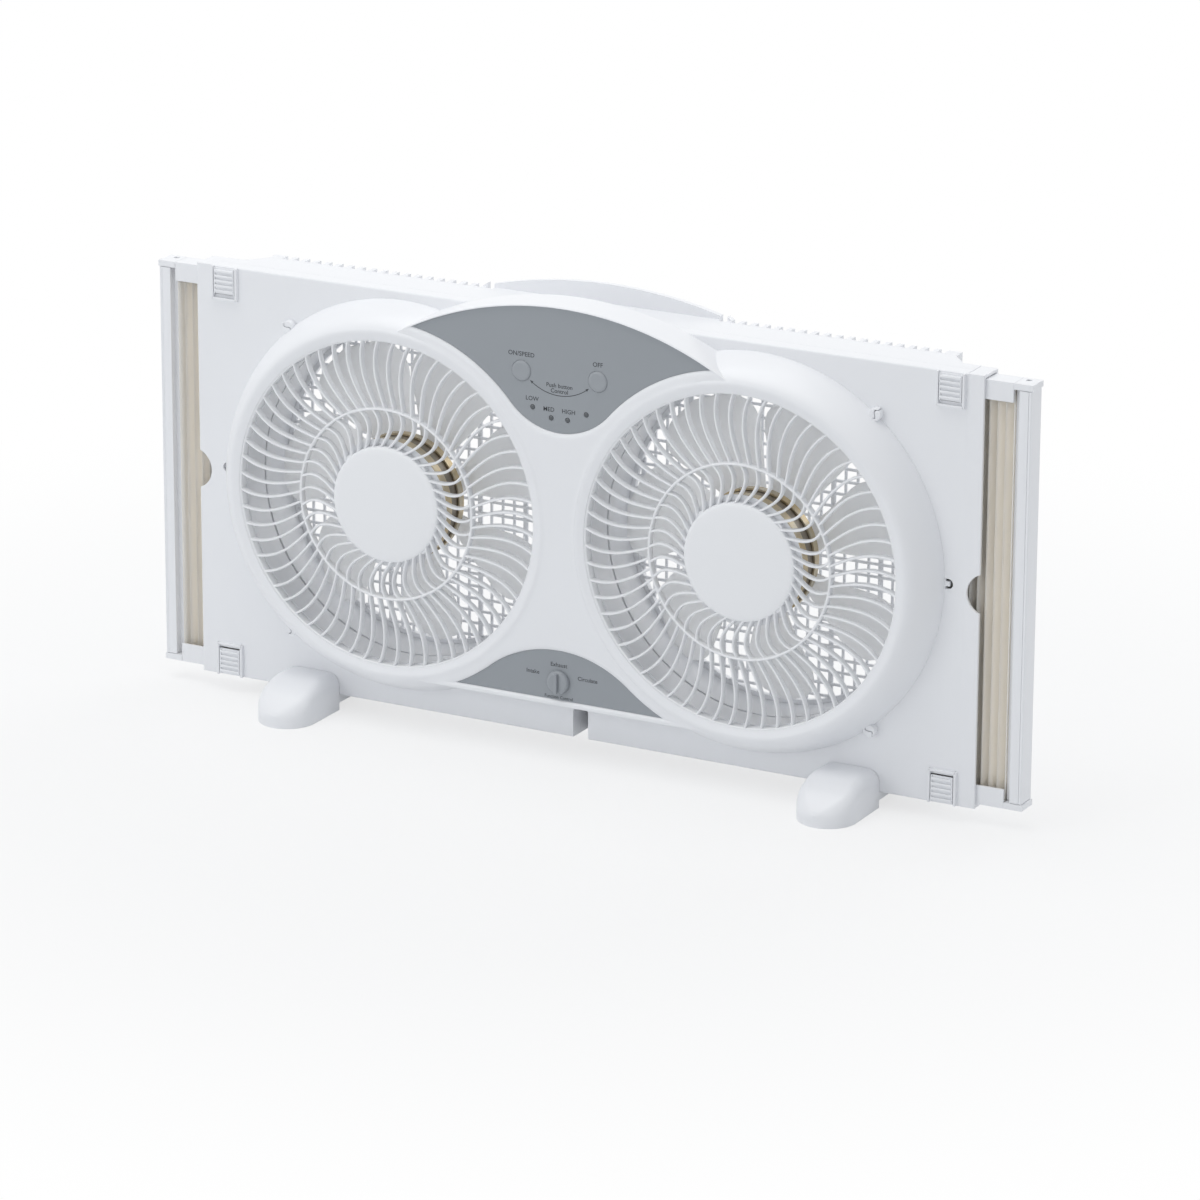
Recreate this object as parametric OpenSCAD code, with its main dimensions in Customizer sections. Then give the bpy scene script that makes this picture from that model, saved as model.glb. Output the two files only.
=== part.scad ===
// Twin window fan with pull-out side curtains, standing on two clip-on feet.
// +Z is up and the fans face -Y. The origin is on the floor, under the middle of the body.

/* [Body] */
// Width of the slab beside each ring
side_margin = 12.8; // [10:0.2:20]
// Height of the slab above the rings
top_margin = 5.5; // [4:0.5:10]
// Height of the slab below the rings
bottom_margin = 13.5; // [12:0.5:20]
// Depth of the body, from the ring rims to the rear grille
body_d = 70; // [68:1:84]
// Thickness of the flat slab that stands in the window
slab_t = 21; // [20:0.5:24]
// How far the ring rims stand out in front of the slab
rim_stand = 26; // [24:0.5:30]
// Wall of the housings
wall = 2.4; // [1.8:0.1:2.8]
// Width of each end frame
end_w = 11.7; // [10:0.1:14]
// Height of the body above the floor
foot_h = 11; // [10:0.5:16]
// How far the raised arch stands above the body's top edge
arch_rise = 12.5; // [9:0.5:16]
// Radius of the raised arch
arch_r = 246; // [235:1:265]

/* [Rings] */
// Radius of the round openings
open_r = 114; // [100:0.5:126]
// Width of the rounded rim around each opening
lip_w = 9.5; // [8:0.5:11]
// How much wider the foot of each ring is than its opening
ring_flare = 21; // [17:0.5:22]
// Gap between the rims of the two rings
ring_gap = 16; // [12:0.5:24]

/* [Grilles] */
// Radius of the plain disc in the middle of a front grille
disc_r = 40; // [36:0.5:46]
// Radius of the ring between the two rows of spokes
mid_ring_r = 65.5; // [58:0.5:72]
// Spokes in the outer row
outer_spokes = 60; // [48:1:64]
// Spokes in the inner row
inner_spokes = 40; // [30:1:42]
// Width of a spoke
spoke_w = 1.8; // [1.4:0.1:2.2]
// Depth of the spokes
spoke_d = 4.6; // [3:0.1:5]
// Distance between the bars of the rear lattice
bar_pitch = 8.7; // [7.5:0.1:12]
// Width of a lattice bar
bar_w = 1.8; // [1.4:0.1:2.4]
// Width of every fourth upright bar
rib_w = 3.4; // [2.4:0.1:4]

/* [Fans] */
// Number of blades on each fan
blades = 7; // [5:1:8]
// Radius over the blade tips
blade_r = 106; // [98:0.5:107]
// Pitch of a blade at its root, in degrees
root_pitch = 31; // [25:1:36]
// Pitch of a blade at its tip, in degrees
tip_pitch = 19; // [15:1:24]
// Thickness of a blade
blade_t = 1.8; // [1.4:0.1:2.4]
// Radius of a motor
motor_r = 43; // [38:0.5:46]
// Length of a motor over its brackets
motor_l = 28; // [26:0.5:29]
// Radius of a motor shaft
shaft_r = 3; // [2.5:0.1:4]

/* [Panels and controls] */
// Thickness of the grey panels
panel_t = 1.6; // [1.2:0.1:2]
// Radius of the two push buttons
button_r = 7; // [5.5:0.1:8.5]
// Distance between the two push buttons
button_pitch = 56.4; // [50:0.2:62]
// Travel of a push button
button_travel = 1.2; // [0.8:0.1:1.5]
// Radius of the indicator lenses
lens_r = 1.7; // [1.2:0.1:2.2]
// Radius of the function dial
dial_r = 8; // [6:0.1:9]

/* [Side curtains] */
// How far each side is pulled out
pulled_out = 19; // [10:0.5:60]
// Travel from closed to fully pulled out
side_travel = 167; // [120:1:168]
// Length of rail left in the body when a side is fully pulled out
rail_grip = 48; // [40:1:56]
// Height of the rails
rail_h = 13; // [11:0.5:14]
// Width of the end stile
stile_w = 8.4; // [7:0.1:10]
// Pleats of each curtain
pleats = 10; // [8:1:11]
// Depth of the pleats
pleat_d = 11; // [8:0.5:11.5]

/* [Latches and feet] */
// Width of a latch slider
latch_w = 15.6; // [13:0.1:17]
// Height of a latch slider
latch_h = 18; // [14:0.1:19]
// Travel of a latch slider
latch_travel = 2; // [1.5:0.1:4]
// Distance between the two feet
foot_pitch = 406; // [390:1:420]
// Width of a foot
foot_w = 41; // [36:1:44]
// Length of a foot
foot_l = 125.6; // [124:0.2:150]

/* [Hidden] */

white = [0.93, 0.94, 0.96];
pale = [0.86, 0.88, 0.91];
grey = [0.53, 0.57, 0.60];
cream = [0.80, 0.77, 0.69];
gold = [0.72, 0.60, 0.34];
steel = [0.62, 0.63, 0.65];
dark = [0.22, 0.23, 0.25];

$fn = 96;
eps = 0.01;
fit = 0.3;          // clearance between pieces that slide or drop in
running = 0.05;     // radial clearance of a shaft in its bush
seat = 0.05;        // where one fixed piece rests on another

// Sizes of the body, which follow from its two rings
ring_r = open_r + ring_flare;
fan_pitch = 2 * (open_r + lip_w) + ring_gap;
body_w = fan_pitch + 2 * (ring_r + side_margin + end_w);
body_h = 2 * ring_r + top_margin + bottom_margin;

// Depths, from the front to the back
rim_y = -body_d / 2;
face_y = rim_y + 2;                 // front of the raised middle
slab_y0 = rim_y + rim_stand;
slab_y1 = slab_y0 + slab_t;
seam_y = slab_y0 + slab_t / 2;      // where the two housings meet
back_y = body_d / 2;
tray_d = 10;
tray_y = back_y - tray_d;           // where the rear grille begins

// Heights
base_z = foot_h;
top_z = foot_h + body_h;
axis_z = foot_h + bottom_margin + ring_r;
arch_top = top_z + arch_rise;

// Widths
fan_x = fan_pitch / 2;
slab_x = body_w / 2 - end_w;        // where the end frames begin
box_slope = 11;
box_inset = 13;
box_x0 = slab_x - box_inset;               // half width of the box at the slab
box_x1 = box_x0 - box_slope;        // half width of the box at the back

// Rings
lip_r = lip_w / 2;
rim_r = open_r + lip_w;
ledge_w = 3;
ledge_y = rim_y + 8.2;
panel_gap = 13.3;
panel_gap_r = open_r + panel_gap;   // radius of the panel edges round each fan

// Front grilles
grille_y = rim_y + 1.8;
grille_r = open_r - fit;
grille_back = ledge_y - 0.1;

// Motors
motor_y0 = grille_y + 5.4;
motor_y1 = motor_y0 + motor_l;
bracket_t = 1.2;
bracket_d = 9;
screw_ring_r = motor_r - 5.5;
bush_r = shaft_r + 4;
bush_l = 5;
rotor_r = 17;
core_r = motor_r - 1.6;
fan_y0 = motor_y1 + 1.6;            // front of the fan hub
fan_y1 = back_y - 9.4;              // back of the fan hub
hub_r = 21;
hub_soft = 2;
nut_h = 3;

// Rear grille
arch_half = fan_x - 38.5;           // half width of the low arch at the back

// Panels
panel_rise = 33.5;
panel_z = base_z + panel_rise;      // bottom edge of the lower panel
lobe_drop = 24.4;
lobe_z = top_z - lobe_drop;         // centre of the round lobe of the upper panel
lobe_r = norm([fan_x, lobe_z - axis_z]) - panel_gap_r;
hump_drop = 15.1;
hump_z = base_z - hump_drop;        // centre of the round top of the lower panel
hump_r = norm([fan_x, axis_z - hump_z]) - panel_gap_r;
face_wall = 3.2;
upper_inset = 17;                   // from a fan axis to the tip of the upper panel
lower_inset = 53;                   // from a fan axis to the tip of the lower panel
button_drop = 34;
button_z = top_z - button_drop;
dial_rise = 12.5;
dial_z = panel_z + dial_rise;
lens_x = [-19.8, -6.1, 6.1, 19.8];
lens_z = [top_z - 57.4, top_z - 63, top_z - 63, top_z - 57.4];
flange = 1.6;                       // how much a button's flange stands out all round
switch_h = 2;
board_y = face_y + face_wall + 4.6;
board_t = 1.6;
board_w = 100;
board_h = 31;
tab_w = 50;                         // the narrower lower part of the board, with the lamps
tab_h = 24;

// Side rails, curtains and end stiles
rail_y0 = slab_y0 + wall + fit;
rail_y1 = slab_y1 - wall - fit;
rail_top = top_z - wall - 0.4;
rail_base = base_z + wall + 0.4;
rail_wall = 1.8;
rail_l = side_travel + rail_grip;
stile_x = body_w / 2 + pulled_out;  // inner face of the stile
stile_gap = 4;
cap_t = 4.5;
cap_over = 0.8;
cap_hole_r = 1.9;
curtain_x = body_w / 2 - 38.5;      // where a curtain is fixed inside the slab
curtain_y = (slab_y0 + slab_y1) / 2;
leaf_t = 0.7;

// Latches
latch_x = slab_x - 3 - latch_w / 2;
latch_rim = 1.9;
latch_proud = 2.6;
latch_end = 1.2;                    // from the slider's outer end to the body's edge
stem_w = 6;
stem_h = 5;

// Screws
boss_r = 4.5;
screw_r = 1.6;
head_r = 3;
foot_screw_l = 11;
boss_in = 71.5;                     // from a fan axis to the bosses on its inner side
boss_out = 93.5;                    // and to those on its outer side
boss_in_drop = 15.5;                // how far the inner bosses stand inside the ring's height
boss_out_drop = 32.5;
boss_at = [[fan_x - boss_in, ring_r - boss_in_drop], [fan_x - boss_in, boss_in_drop - ring_r],
    [fan_x + boss_out, ring_r - boss_out_drop], [fan_x + boss_out, boss_out_drop - ring_r]];
tray_at = [[box_x1 - 12, base_z + 13], [box_x1 - 12, top_z - 13], [14, base_z + 13], [14, top_z - 13]];

// A block between two corners
module block(x0, x1, y0, y1, z0, z1)
    translate([x0, y0, z0]) cube([x1 - x0, y1 - y0, z1 - z0]);

// A round bar along Y
module bar_y(r, y0, y1, x = 0, z = 0)
    translate([x, y1, z]) rotate([90, 0, 0]) cylinder(r = r, h = y1 - y0);

// A cone along Y with one radius at each end
module cone_y(r0, r1, y0, y1, x = 0, z = 0)
    translate([x, y1, z]) rotate([90, 0, 0]) cylinder(r1 = r1, r2 = r0, h = y1 - y0);

// A profile of [radius, y] points turned about a line along Y
module turned(profile, x = 0, z = 0)
    translate([x, 0, z]) rotate([90, 0, 0]) rotate_extrude() polygon([for (p = profile) [p[0], -p[1]]]);

module each_fan() for (s = [-1, 1]) translate([s * fan_x, 0, axis_z]) children();

// Both the right and the left copy of what is modelled on the right
module both_sides() {
    children();
    mirror([1, 0, 0]) children();
}

// The right copy for s = 1, the left one for s = -1
module side(s) {
    if (s > 0) children();
    else mirror([1, 0, 0]) children();
}

// What is modelled at the top of the body, turned over to its bottom
module low() translate([0, 0, base_z + top_z]) mirror([0, 0, 1]) children();

// ---- Housings ----

// The raised middle between the rings, drawn in by d all round
module raised_middle(d) {
    y0 = face_y + (d > 0 ? face_wall : 0);
    z_front = panel_z - 4 + d;
    z_back = base_z + 20 + d;
    intersection() {
        cone_y(arch_r - d, arch_r - d + 3, y0, slab_y0 + wall + eps, 0, arch_top - arch_r);
        translate([-fan_x, 0, 0]) rotate([90, 0, 90]) linear_extrude(2 * fan_x)
            polygon([[y0, z_front], [slab_y0 + wall + eps, z_back],
                [slab_y0 + wall + eps, arch_top + 9], [y0, arch_top + 9]]);
    }
}

// One ring: its flared side, rounded rim, duct wall and the ledge that the grille seats on
module ring() {
    mid = open_r + lip_r;
    turned(concat(
        [[ring_r, slab_y0 - seat]],
        [for (a = [0:15:180]) [mid + lip_r * cos(a), rim_y + lip_r - lip_r * sin(a)]],
        [[open_r, ledge_y], [open_r - ledge_w, ledge_y], [open_r - ledge_w, ledge_y + 1.6],
            [open_r, ledge_y + 1.6 + ledge_w], [open_r, seam_y - 1], [open_r + wall, seam_y - 1],
            [open_r + wall, rim_y + lip_w], [rim_r - wall, rim_y + lip_w], [ring_r - wall, slab_y0 - seat]]));
}

// Closes the back of the arch where it stands above the slab
module arch_back() intersection() {
    bar_y(arch_r + 2, slab_y0 - seat - wall, slab_y0 - seat, 0, arch_top - arch_r);
    block(-fan_x, fan_x, slab_y0 - 2 * wall, slab_y0, top_z - 4, arch_top + 1);
}

// The raised frame in which a latch slides, open towards the edge of the body
module latch_frame() {
    x0 = latch_x - latch_w / 2 - latch_rim - fit;
    x1 = latch_x + latch_w / 2 + latch_rim + fit;
    z0 = top_z - latch_end - latch_h - latch_travel - latch_rim - fit;
    block(x0, x1, slab_y0 - latch_proud, slab_y0 + eps, z0, top_z);
}

module latch_well() {
    x0 = latch_x - latch_w / 2 - fit;
    x1 = latch_x + latch_w / 2 + fit;
    z0 = top_z - latch_end - latch_h - latch_travel - fit;
    block(x0, x1, slab_y0 - latch_proud - 1, slab_y0 - 0.4, z0, top_z + 1);
    stem_z = top_z - latch_end - latch_h / 2;
    block(latch_x - stem_w / 2 - fit, latch_x + stem_w / 2 + fit, slab_y0 - 1, slab_y0 + wall + 1,
        stem_z - stem_h / 2 - latch_travel - fit, stem_z + stem_h / 2 + fit);
}

// Repeats a top corner feature at all four corners
module corners() {
    both_sides() children();
    low() both_sides() children();
}

// The small tab of a clip, on the outer shoulder of a ring
module cover_hook(a) {
    x = fan_x + (ring_r + 2.5) * cos(a);
    z = axis_z + (ring_r + 2.5) * sin(a);
    translate([x, slab_y0 - seat, z]) rotate([0, -a, 0]) rotate([90, 0, 0]) linear_extrude(3)
        polygon([[-4, -3], [3, -1.5], [3, 1.5], [-4, 3]]);
}

// The slot of the middle clip, beside the outer side of a ring
module cover_slot() {
    x = fan_x + ring_r + 2.6;
    difference() {
        union() {
            bar_y(3.4, slab_y0 - 1, slab_y0 + wall + 1, x, axis_z);
            block(x - 2, x, slab_y0 - 1, slab_y0 + wall + 1, axis_z - 3.4, axis_z + 3.4);
        }
        block(x - 4, x + 1, slab_y0 - 2, slab_y0 + wall + 2, axis_z - 1.6, axis_z + 1.6);
    }
}

notch_w = 11.3;
notch_h = 20;
notch_x = 3.4;

// Moulding in front of the slab: both rings, joined by the raised middle that carries the panels
module front_bezel() color(white) difference() {
    union() {
        difference() {
            intersection() {
                raised_middle(0);
                block(-fan_x, fan_x, rim_y, slab_y0 - seat, base_z, arch_top + 1);
            }
            raised_middle(wall);
            each_fan() bar_y(open_r + lip_r, rim_y - 1, seam_y + 1);
        }
        each_fan() ring();
        arch_back();
        both_sides() for (a = [51, -51]) cover_hook(a);
        for (p = board_posts) both_sides()
            bar_y(3.5, face_y + face_wall - eps, board_y, p[0], p[1]);
    }
    translate([0, face_y - eps, 0]) control_outline(panel_t + 0.2 + eps, 0.15);
    translate([0, face_y - eps, 0]) function_outline(panel_t + 0.2 + eps, 0.15);
    both_sides() bar_y(button_r + fit, face_y - 1, board_y, button_pitch / 2, button_z);
    for (i = [0:3]) bar_y(lens_r + 0.1, face_y - 1, board_y, lens_x[i], lens_z[i]);
    bar_y(3.2, face_y - 1, board_y, 0, dial_z);
    for (p = board_posts) both_sides()
        bar_y(1.2, face_y + face_wall, board_y + 1, p[0], p[1]);
}

// Front half of the slab: a shallow tray with two round holes, open at both ends
module front_housing() color(white) difference() {
    union() {
        difference() {
            block(-slab_x, slab_x, slab_y0, seam_y, base_z, top_z);
            block(-slab_x - 1, slab_x + 1, slab_y0 + wall, seam_y + 1, base_z + wall, top_z - wall);
            each_fan() bar_y(open_r + wall + 4, slab_y0 - 1, seam_y + 1);
        }
        corners() latch_frame();
        for (p = boss_at) both_sides()
            bar_y(boss_r, slab_y0 + wall - eps, seam_y - 0.2, p[0], axis_z + p[1]);
        block(notch_x - notch_w / 2 - wall, notch_x + notch_w / 2 + wall, slab_y0, seam_y,
            base_z, base_z + notch_h + wall);
    }
    corners() latch_well();
    both_sides() cover_slot();
    for (p = boss_at) both_sides()
        bar_y(screw_r + running, slab_y0 + wall + 0.5, seam_y + 1, p[0], axis_z + p[1]);
    block(notch_x - notch_w / 2, notch_x + notch_w / 2, slab_y0 - 1, seam_y + 1, base_z - 1, base_z + notch_h);
}

module rear_housing() color(white) difference() {
    union() {
        difference() {
            block(-slab_x, slab_x, seam_y, slab_y1, base_z, top_z);
            block(-slab_x - 1, slab_x + 1, seam_y - 1, slab_y1 - wall, base_z + wall, top_z - wall);
        }
        difference() {
            box_outline(0, slab_y1 - eps, tray_y);
            box_outline(wall, slab_y1 - 1, tray_y + 1);
        }
        each_fan() bar_y(open_r + wall, seam_y + 1, back_y - 4.4);
        for (p = boss_at) both_sides()
            bar_y(boss_r, seam_y + 0.2, slab_y1 + 3, p[0], axis_z + p[1]);
        for (p = tray_at) both_sides()
            bar_y(boss_r, slab_y1 - eps, back_y - 4.4, p[0], p[1]);
        both_sides() foot_bosses();
        block(notch_x - notch_w / 2 - wall, notch_x + notch_w / 2 + wall, seam_y, slab_y1,
            base_z, base_z + notch_h + wall);
    }
    each_fan() bar_y(open_r, seam_y - 1, back_y);
    for (p = boss_at) both_sides() {
        bar_y(screw_r + 0.2, seam_y - 1, slab_y1 + 4, p[0], axis_z + p[1]);
        bar_y(head_r + fit, slab_y1 + 1, slab_y1 + 4, p[0], axis_z + p[1]);
    }
    for (p = tray_at) both_sides()
        bar_y(screw_r + running, slab_y1 + 2, back_y, p[0], p[1]);
    both_sides() for (dx = [-foot_screw_dx, foot_screw_dx])
        translate([foot_x + dx, foot_screw_y, base_z - 1]) cylinder(r = screw_r + running, h = 12);
    block(notch_x - notch_w / 2, notch_x + notch_w / 2, seam_y - 1, slab_y1 + 1, base_z - 1, base_z + notch_h);
}

// The plan of the box behind the slab, drawn in by d, between two depths
module box_outline(d, y0, y1) {
    k = box_slope / (tray_y - slab_y1);
    x0 = box_x0 - d - (y0 - slab_y1) * k;
    x1 = box_x0 - d - (y1 - slab_y1) * k;
    translate([0, 0, base_z + d]) linear_extrude(body_h - 2 * d)
        polygon([[-x0, y0], [x0, y0], [x1, y1], [-x1, y1]]);
}

// Round window of the rear grille, filled with two layers of bars
module lattice() {
    n = floor((open_r - 4) / bar_pitch);
    w = open_r - 3;
    for (i = [-n:n]) {
        half = sqrt(pow(w, 2) - pow(i * bar_pitch, 2)) + 1;
        bw = (i % 4 == 0) ? rib_w : bar_w;
        block(i * bar_pitch - bw / 2, i * bar_pitch + bw / 2, back_y - 2, back_y, -half, half);
        block(-half, half, back_y - 4, back_y - 2.2, i * bar_pitch - bar_w / 2, i * bar_pitch + bar_w / 2);
    }
}

module rear_grille() color(white) difference() {
    union() {
        difference() {
            union() {
                block(-box_x1, box_x1, tray_y + 0.2, back_y, base_z, top_z);
                rear_arch();
            }
            block(-box_x1 + wall, box_x1 - wall, tray_y - 1, back_y - 4, base_z + wall, top_z - wall);
            each_fan() bar_y(open_r - 3, tray_y, back_y + 1);
        }
        each_fan() lattice();
    }
    for (p = tray_at) both_sides() {
        bar_y(screw_r + 0.2, tray_y, back_y + 1, p[0], p[1]);
        bar_y(head_r + fit, back_y - 2.4, back_y + 1, p[0], p[1]);
    }
    both_sides() for (x = [arch_half - 9 : bar_pitch : box_x1 - 8])
        block(x, x + bar_pitch * 0.6, tray_y + 2.5, back_y + 1, top_z - wall - 1, top_z + 1);
}

// The low arch along the top of the rear grille
module rear_arch() {
    rise = arch_rise + 0.5;
    half = arch_half;
    r = (pow(half, 2) + pow(rise, 2)) / (2 * rise);
    intersection() {
        bar_y(r, back_y - 4, back_y, 0, top_z + rise - r);
        block(-half, half, back_y - 4, back_y, top_z - 20, top_z + rise + 1);
    }
}

module end_frame(s) color(white) side(s) difference() {
    union() {
        block(slab_x + 0.1, body_w / 2, slab_y0, slab_y1, base_z, top_z);
        block(slab_x - 8, slab_x + 1, slab_y0 + wall + 0.1, slab_y0 + wall + 1.2, base_z + 49, top_z - 50);
        block(slab_x - 8, slab_x + 1, slab_y1 - wall - 1.2, slab_y1 - wall - 0.1, base_z + 49, top_z - 50);
    }
    block(slab_x - 1, body_w / 2 + 1, slab_y0 + wall, slab_y1 - wall, base_z + wall, base_z + 49);
    block(slab_x - 9, body_w / 2 + 1, slab_y0 + wall + 1.2, slab_y1 - wall - 1.2, base_z + 40, top_z - 40);
    block(slab_x - 1, body_w / 2 + 1, slab_y0 + wall, slab_y1 - wall, top_z - 50, top_z - wall);
    bar_y(13.9, slab_y0 - 1, slab_y0 + wall + 1.5, body_w / 2 + 4.9, base_z + body_h / 2);
}

// ---- Front grilles ----

// Angle by which a spoke has swung at a radius, as two arcs that bend opposite ways
function outer_swing(u) = 16.4 * u - 13.6 * u * u;
function inner_swing(v) = 9 - 30.5 * v + 25 * v * v;

function polar(r, a) = [r * cos(a), r * sin(a)];

// Outline of one spoke between two radii
function spoke(r0, r1, swings, w) = let(
    n = len(swings) - 1,
    mid = [for (i = [0:n]) polar(r0 + (r1 - r0) * i / n, swings[i])],
    nrm = [for (i = [0:n]) let(d = mid[min(i + 1, n)] - mid[max(i - 1, 0)]) [-d[1], d[0]] / norm(d) * w / 2])
    concat([for (i = [0:n]) mid[i] + nrm[i]], [for (i = [n:-1:0]) mid[i] - nrm[i]]);

module spoke_row(count, r0, r1, swings, start) {
    for (i = [0:count - 1]) rotate(start + i * 360 / count) polygon(spoke(r0, r1, swings, spoke_w));
}

module front_grille(s) color(white) translate([s * fan_x, 0, axis_z]) difference() {
    union() {
        translate([0, grille_y + spoke_d, 0]) rotate([90, 0, 0]) linear_extrude(spoke_d) {
            spoke_row(outer_spokes, mid_ring_r - 0.2, grille_r - 1, [for (i = [0:6]) outer_swing(i / 6)], 0);
            spoke_row(inner_spokes, disc_r - 0.6, mid_ring_r + 0.2, [for (i = [0:6]) inner_swing(i / 6)], -3.5);
            difference() {
                circle(mid_ring_r + 1);
                circle(mid_ring_r - 1);
            }
        }
        turned([[grille_r, grille_y], [grille_r, grille_back], [grille_r - 2, grille_back], [grille_r - 2, grille_y]]);
        turned([[0, grille_y - 1.4], [disc_r * 0.5, grille_y - 1.2], [disc_r - 4, grille_y - 0.5],
            [disc_r, grille_y], [disc_r, grille_y + spoke_d], [disc_r - 1.6, grille_y + spoke_d],
            [disc_r - 1.6, grille_y + 1.8], [0, grille_y + 1.8]]);
        for (a = [45:90:315])
            bar_y(4, grille_y + 1, motor_y0, screw_ring_r * cos(a), screw_ring_r * sin(a));
    }
    for (a = [45:90:315])
        bar_y(screw_r + running, grille_y + 2.5, motor_y0 + 1, screw_ring_r * cos(a), screw_ring_r * sin(a));
}

// ---- Panels and controls ----

// Plate with the outline of the upper panel, grown by g
module control_outline(t, g) difference() {
    intersection() {
        bar_y(arch_r - 1.4 + g, 0, t, 0, arch_top - arch_r);
        union() {
            block(-fan_x, fan_x, -1, t + 1, lobe_z - (lobe_z - axis_z) * lobe_r / (lobe_r + panel_gap_r), arch_top);
            bar_y(lobe_r + g, -1, t + 1, 0, lobe_z);
        }
        block(-fan_x + upper_inset - g, fan_x - upper_inset + g, -1, t + 1, axis_z, arch_top);
    }
    for (s = [-1, 1]) bar_y(panel_gap_r - g, -1, t + 1, s * fan_x, axis_z);
}

module function_outline(t, g) difference() {
    intersection() {
        block(-fan_x + lower_inset - g, fan_x - lower_inset + g, 0, t, panel_z - g, axis_z);
        union() {
            block(-fan_x, fan_x, -1, t + 1, base_z,
                hump_z + (axis_z - hump_z) * hump_r / (hump_r + panel_gap_r));
            bar_y(hump_r + g, -1, t + 1, 0, hump_z);
        }
    }
    for (s = [-1, 1]) bar_y(panel_gap_r - g, -1, t + 1, s * fan_x, axis_z);
}

module control_panel() color(grey) difference() {
    translate([0, face_y, 0]) control_outline(panel_t, 0);
    both_sides() bar_y(button_r + fit, face_y - 1, face_y + 3, button_pitch / 2, button_z);
    for (i = [0:3]) bar_y(lens_r + 0.1, face_y - 1, face_y + 3, lens_x[i], lens_z[i]);
}

module function_panel() color(grey) difference() {
    translate([0, face_y, 0]) function_outline(panel_t, 0);
    bar_y(3.2, face_y - 1, face_y + 3, 0, dial_z);
}

// Push button: a shallow dome, its stem and the flange that stops it behind the wall
module push_button(s) color(grey) {
    back = face_y + face_wall;
    turned([[0, face_y - 1.9], [button_r * 0.6, face_y - 1.7], [button_r - 0.8, face_y - 1.2],
        [button_r, face_y - 0.6], [button_r, back + 0.2], [button_r + flange, back + 0.2],
        [button_r + flange, back + 1.2], [2.5, back + 1.2], [2.5, board_y - switch_h - button_travel - fit],
        [0, board_y - switch_h - button_travel - fit]], s * button_pitch / 2, button_z);
}

module indicator_lenses() color([0.85, 0.87, 0.84]) for (i = [0:3])
    turned([[0, face_y - 0.4], [lens_r * 0.7, face_y - 0.3], [lens_r, face_y], [lens_r, board_y - 0.6],
        [0, board_y - 0.6]], lens_x[i], lens_z[i]);

board_z = button_z + 20;            // top edge of the board
board_posts = [[board_w / 2 - 6, board_z - 8], [tab_w / 2 - 6, board_z - board_h - 3]];

// Board behind the upper panel, with two switches, four lamps and a few parts
module control_board() {
    color([0.16, 0.36, 0.22]) difference() {
        union() {
            block(-board_w / 2, board_w / 2, board_y + 0.1, board_y + board_t, board_z - board_h, board_z);
            block(-tab_w / 2, tab_w / 2, board_y + 0.1, board_y + board_t,
                board_z - board_h - tab_h + 1, board_z - board_h + 1);
        }
        for (p = board_posts) both_sides()
            bar_y(1.4, board_y - 1, board_y + 3, p[0], p[1]);
    }
    color(dark) {
        both_sides() block(button_pitch / 2 - 3, button_pitch / 2 + 3, board_y - switch_h, board_y + 0.11,
            button_z - 3, button_z + 3);
        for (i = [0:3]) bar_y(1.4, board_y - 0.5, board_y + 0.11, lens_x[i], lens_z[i]);
        block(-14, 8, board_y + board_t - eps, board_y + board_t + 6, button_z - 4, button_z + 12);
        bar_y(4, board_y + board_t - eps, board_y + board_t + 9, 22, button_z + 2);
        bar_y(4, board_y + board_t - eps, board_y + board_t + 9, -26, button_z);
    }
}

// Dial with a raised pointer and a spindle through the panel
module function_dial() color(grey) translate([0, 0, dial_z]) {
    turned([[0, face_y - 4], [dial_r - 1, face_y - 4], [dial_r, face_y - 3.2], [dial_r, face_y - 0.3],
        [2.9, face_y - 0.3], [2.9, face_y + face_wall + 4], [0, face_y + face_wall + 4]]);
    block(-1.2, 1.2, face_y - 6, face_y - 3.9, -dial_r + 1, dial_r - 1);
}

module function_switch() color(dark) difference() {
    block(-11, 11, face_y + face_wall + 0.1, face_y + face_wall + 12, dial_z - 7, dial_z + 11);
    bar_y(3.0, face_y, face_y + face_wall + 4.2, 0, dial_z);
}

// ---- Fans and motors ----

function mix(a, b, t) = a + (b - a) * t;

// Blade outline: how far its edges stand from its middle line, in degrees, at a radius
function blade_half(r) = let(t = (r - hub_r) / (blade_r - hub_r))
    22.4 * sqrt(max(0.0004, 1 - pow(max(0, (t - 0.62) / 0.38), 2.6))) * (0.80 + 0.20 * sin(90 * t));

function blade_point(r, c, side_sign) = let(
    t = (r - hub_r) / (blade_r - hub_r),
    pitch = mix(root_pitch, tip_pitch, t),
    run = c * blade_half(r) * PI / 180 * r,
    across = run * cos(pitch),
    camber = 0.055 * 2 * blade_half(r) * PI / 180 * r * (1 - c * c),
    y = -run * sin(pitch) + camber + side_sign * blade_t / 2 * (1 - 0.45 * c * c),
    a = across / r * 180 / PI + 6 * t)
    [r * cos(a), y, r * sin(a)];

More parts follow.
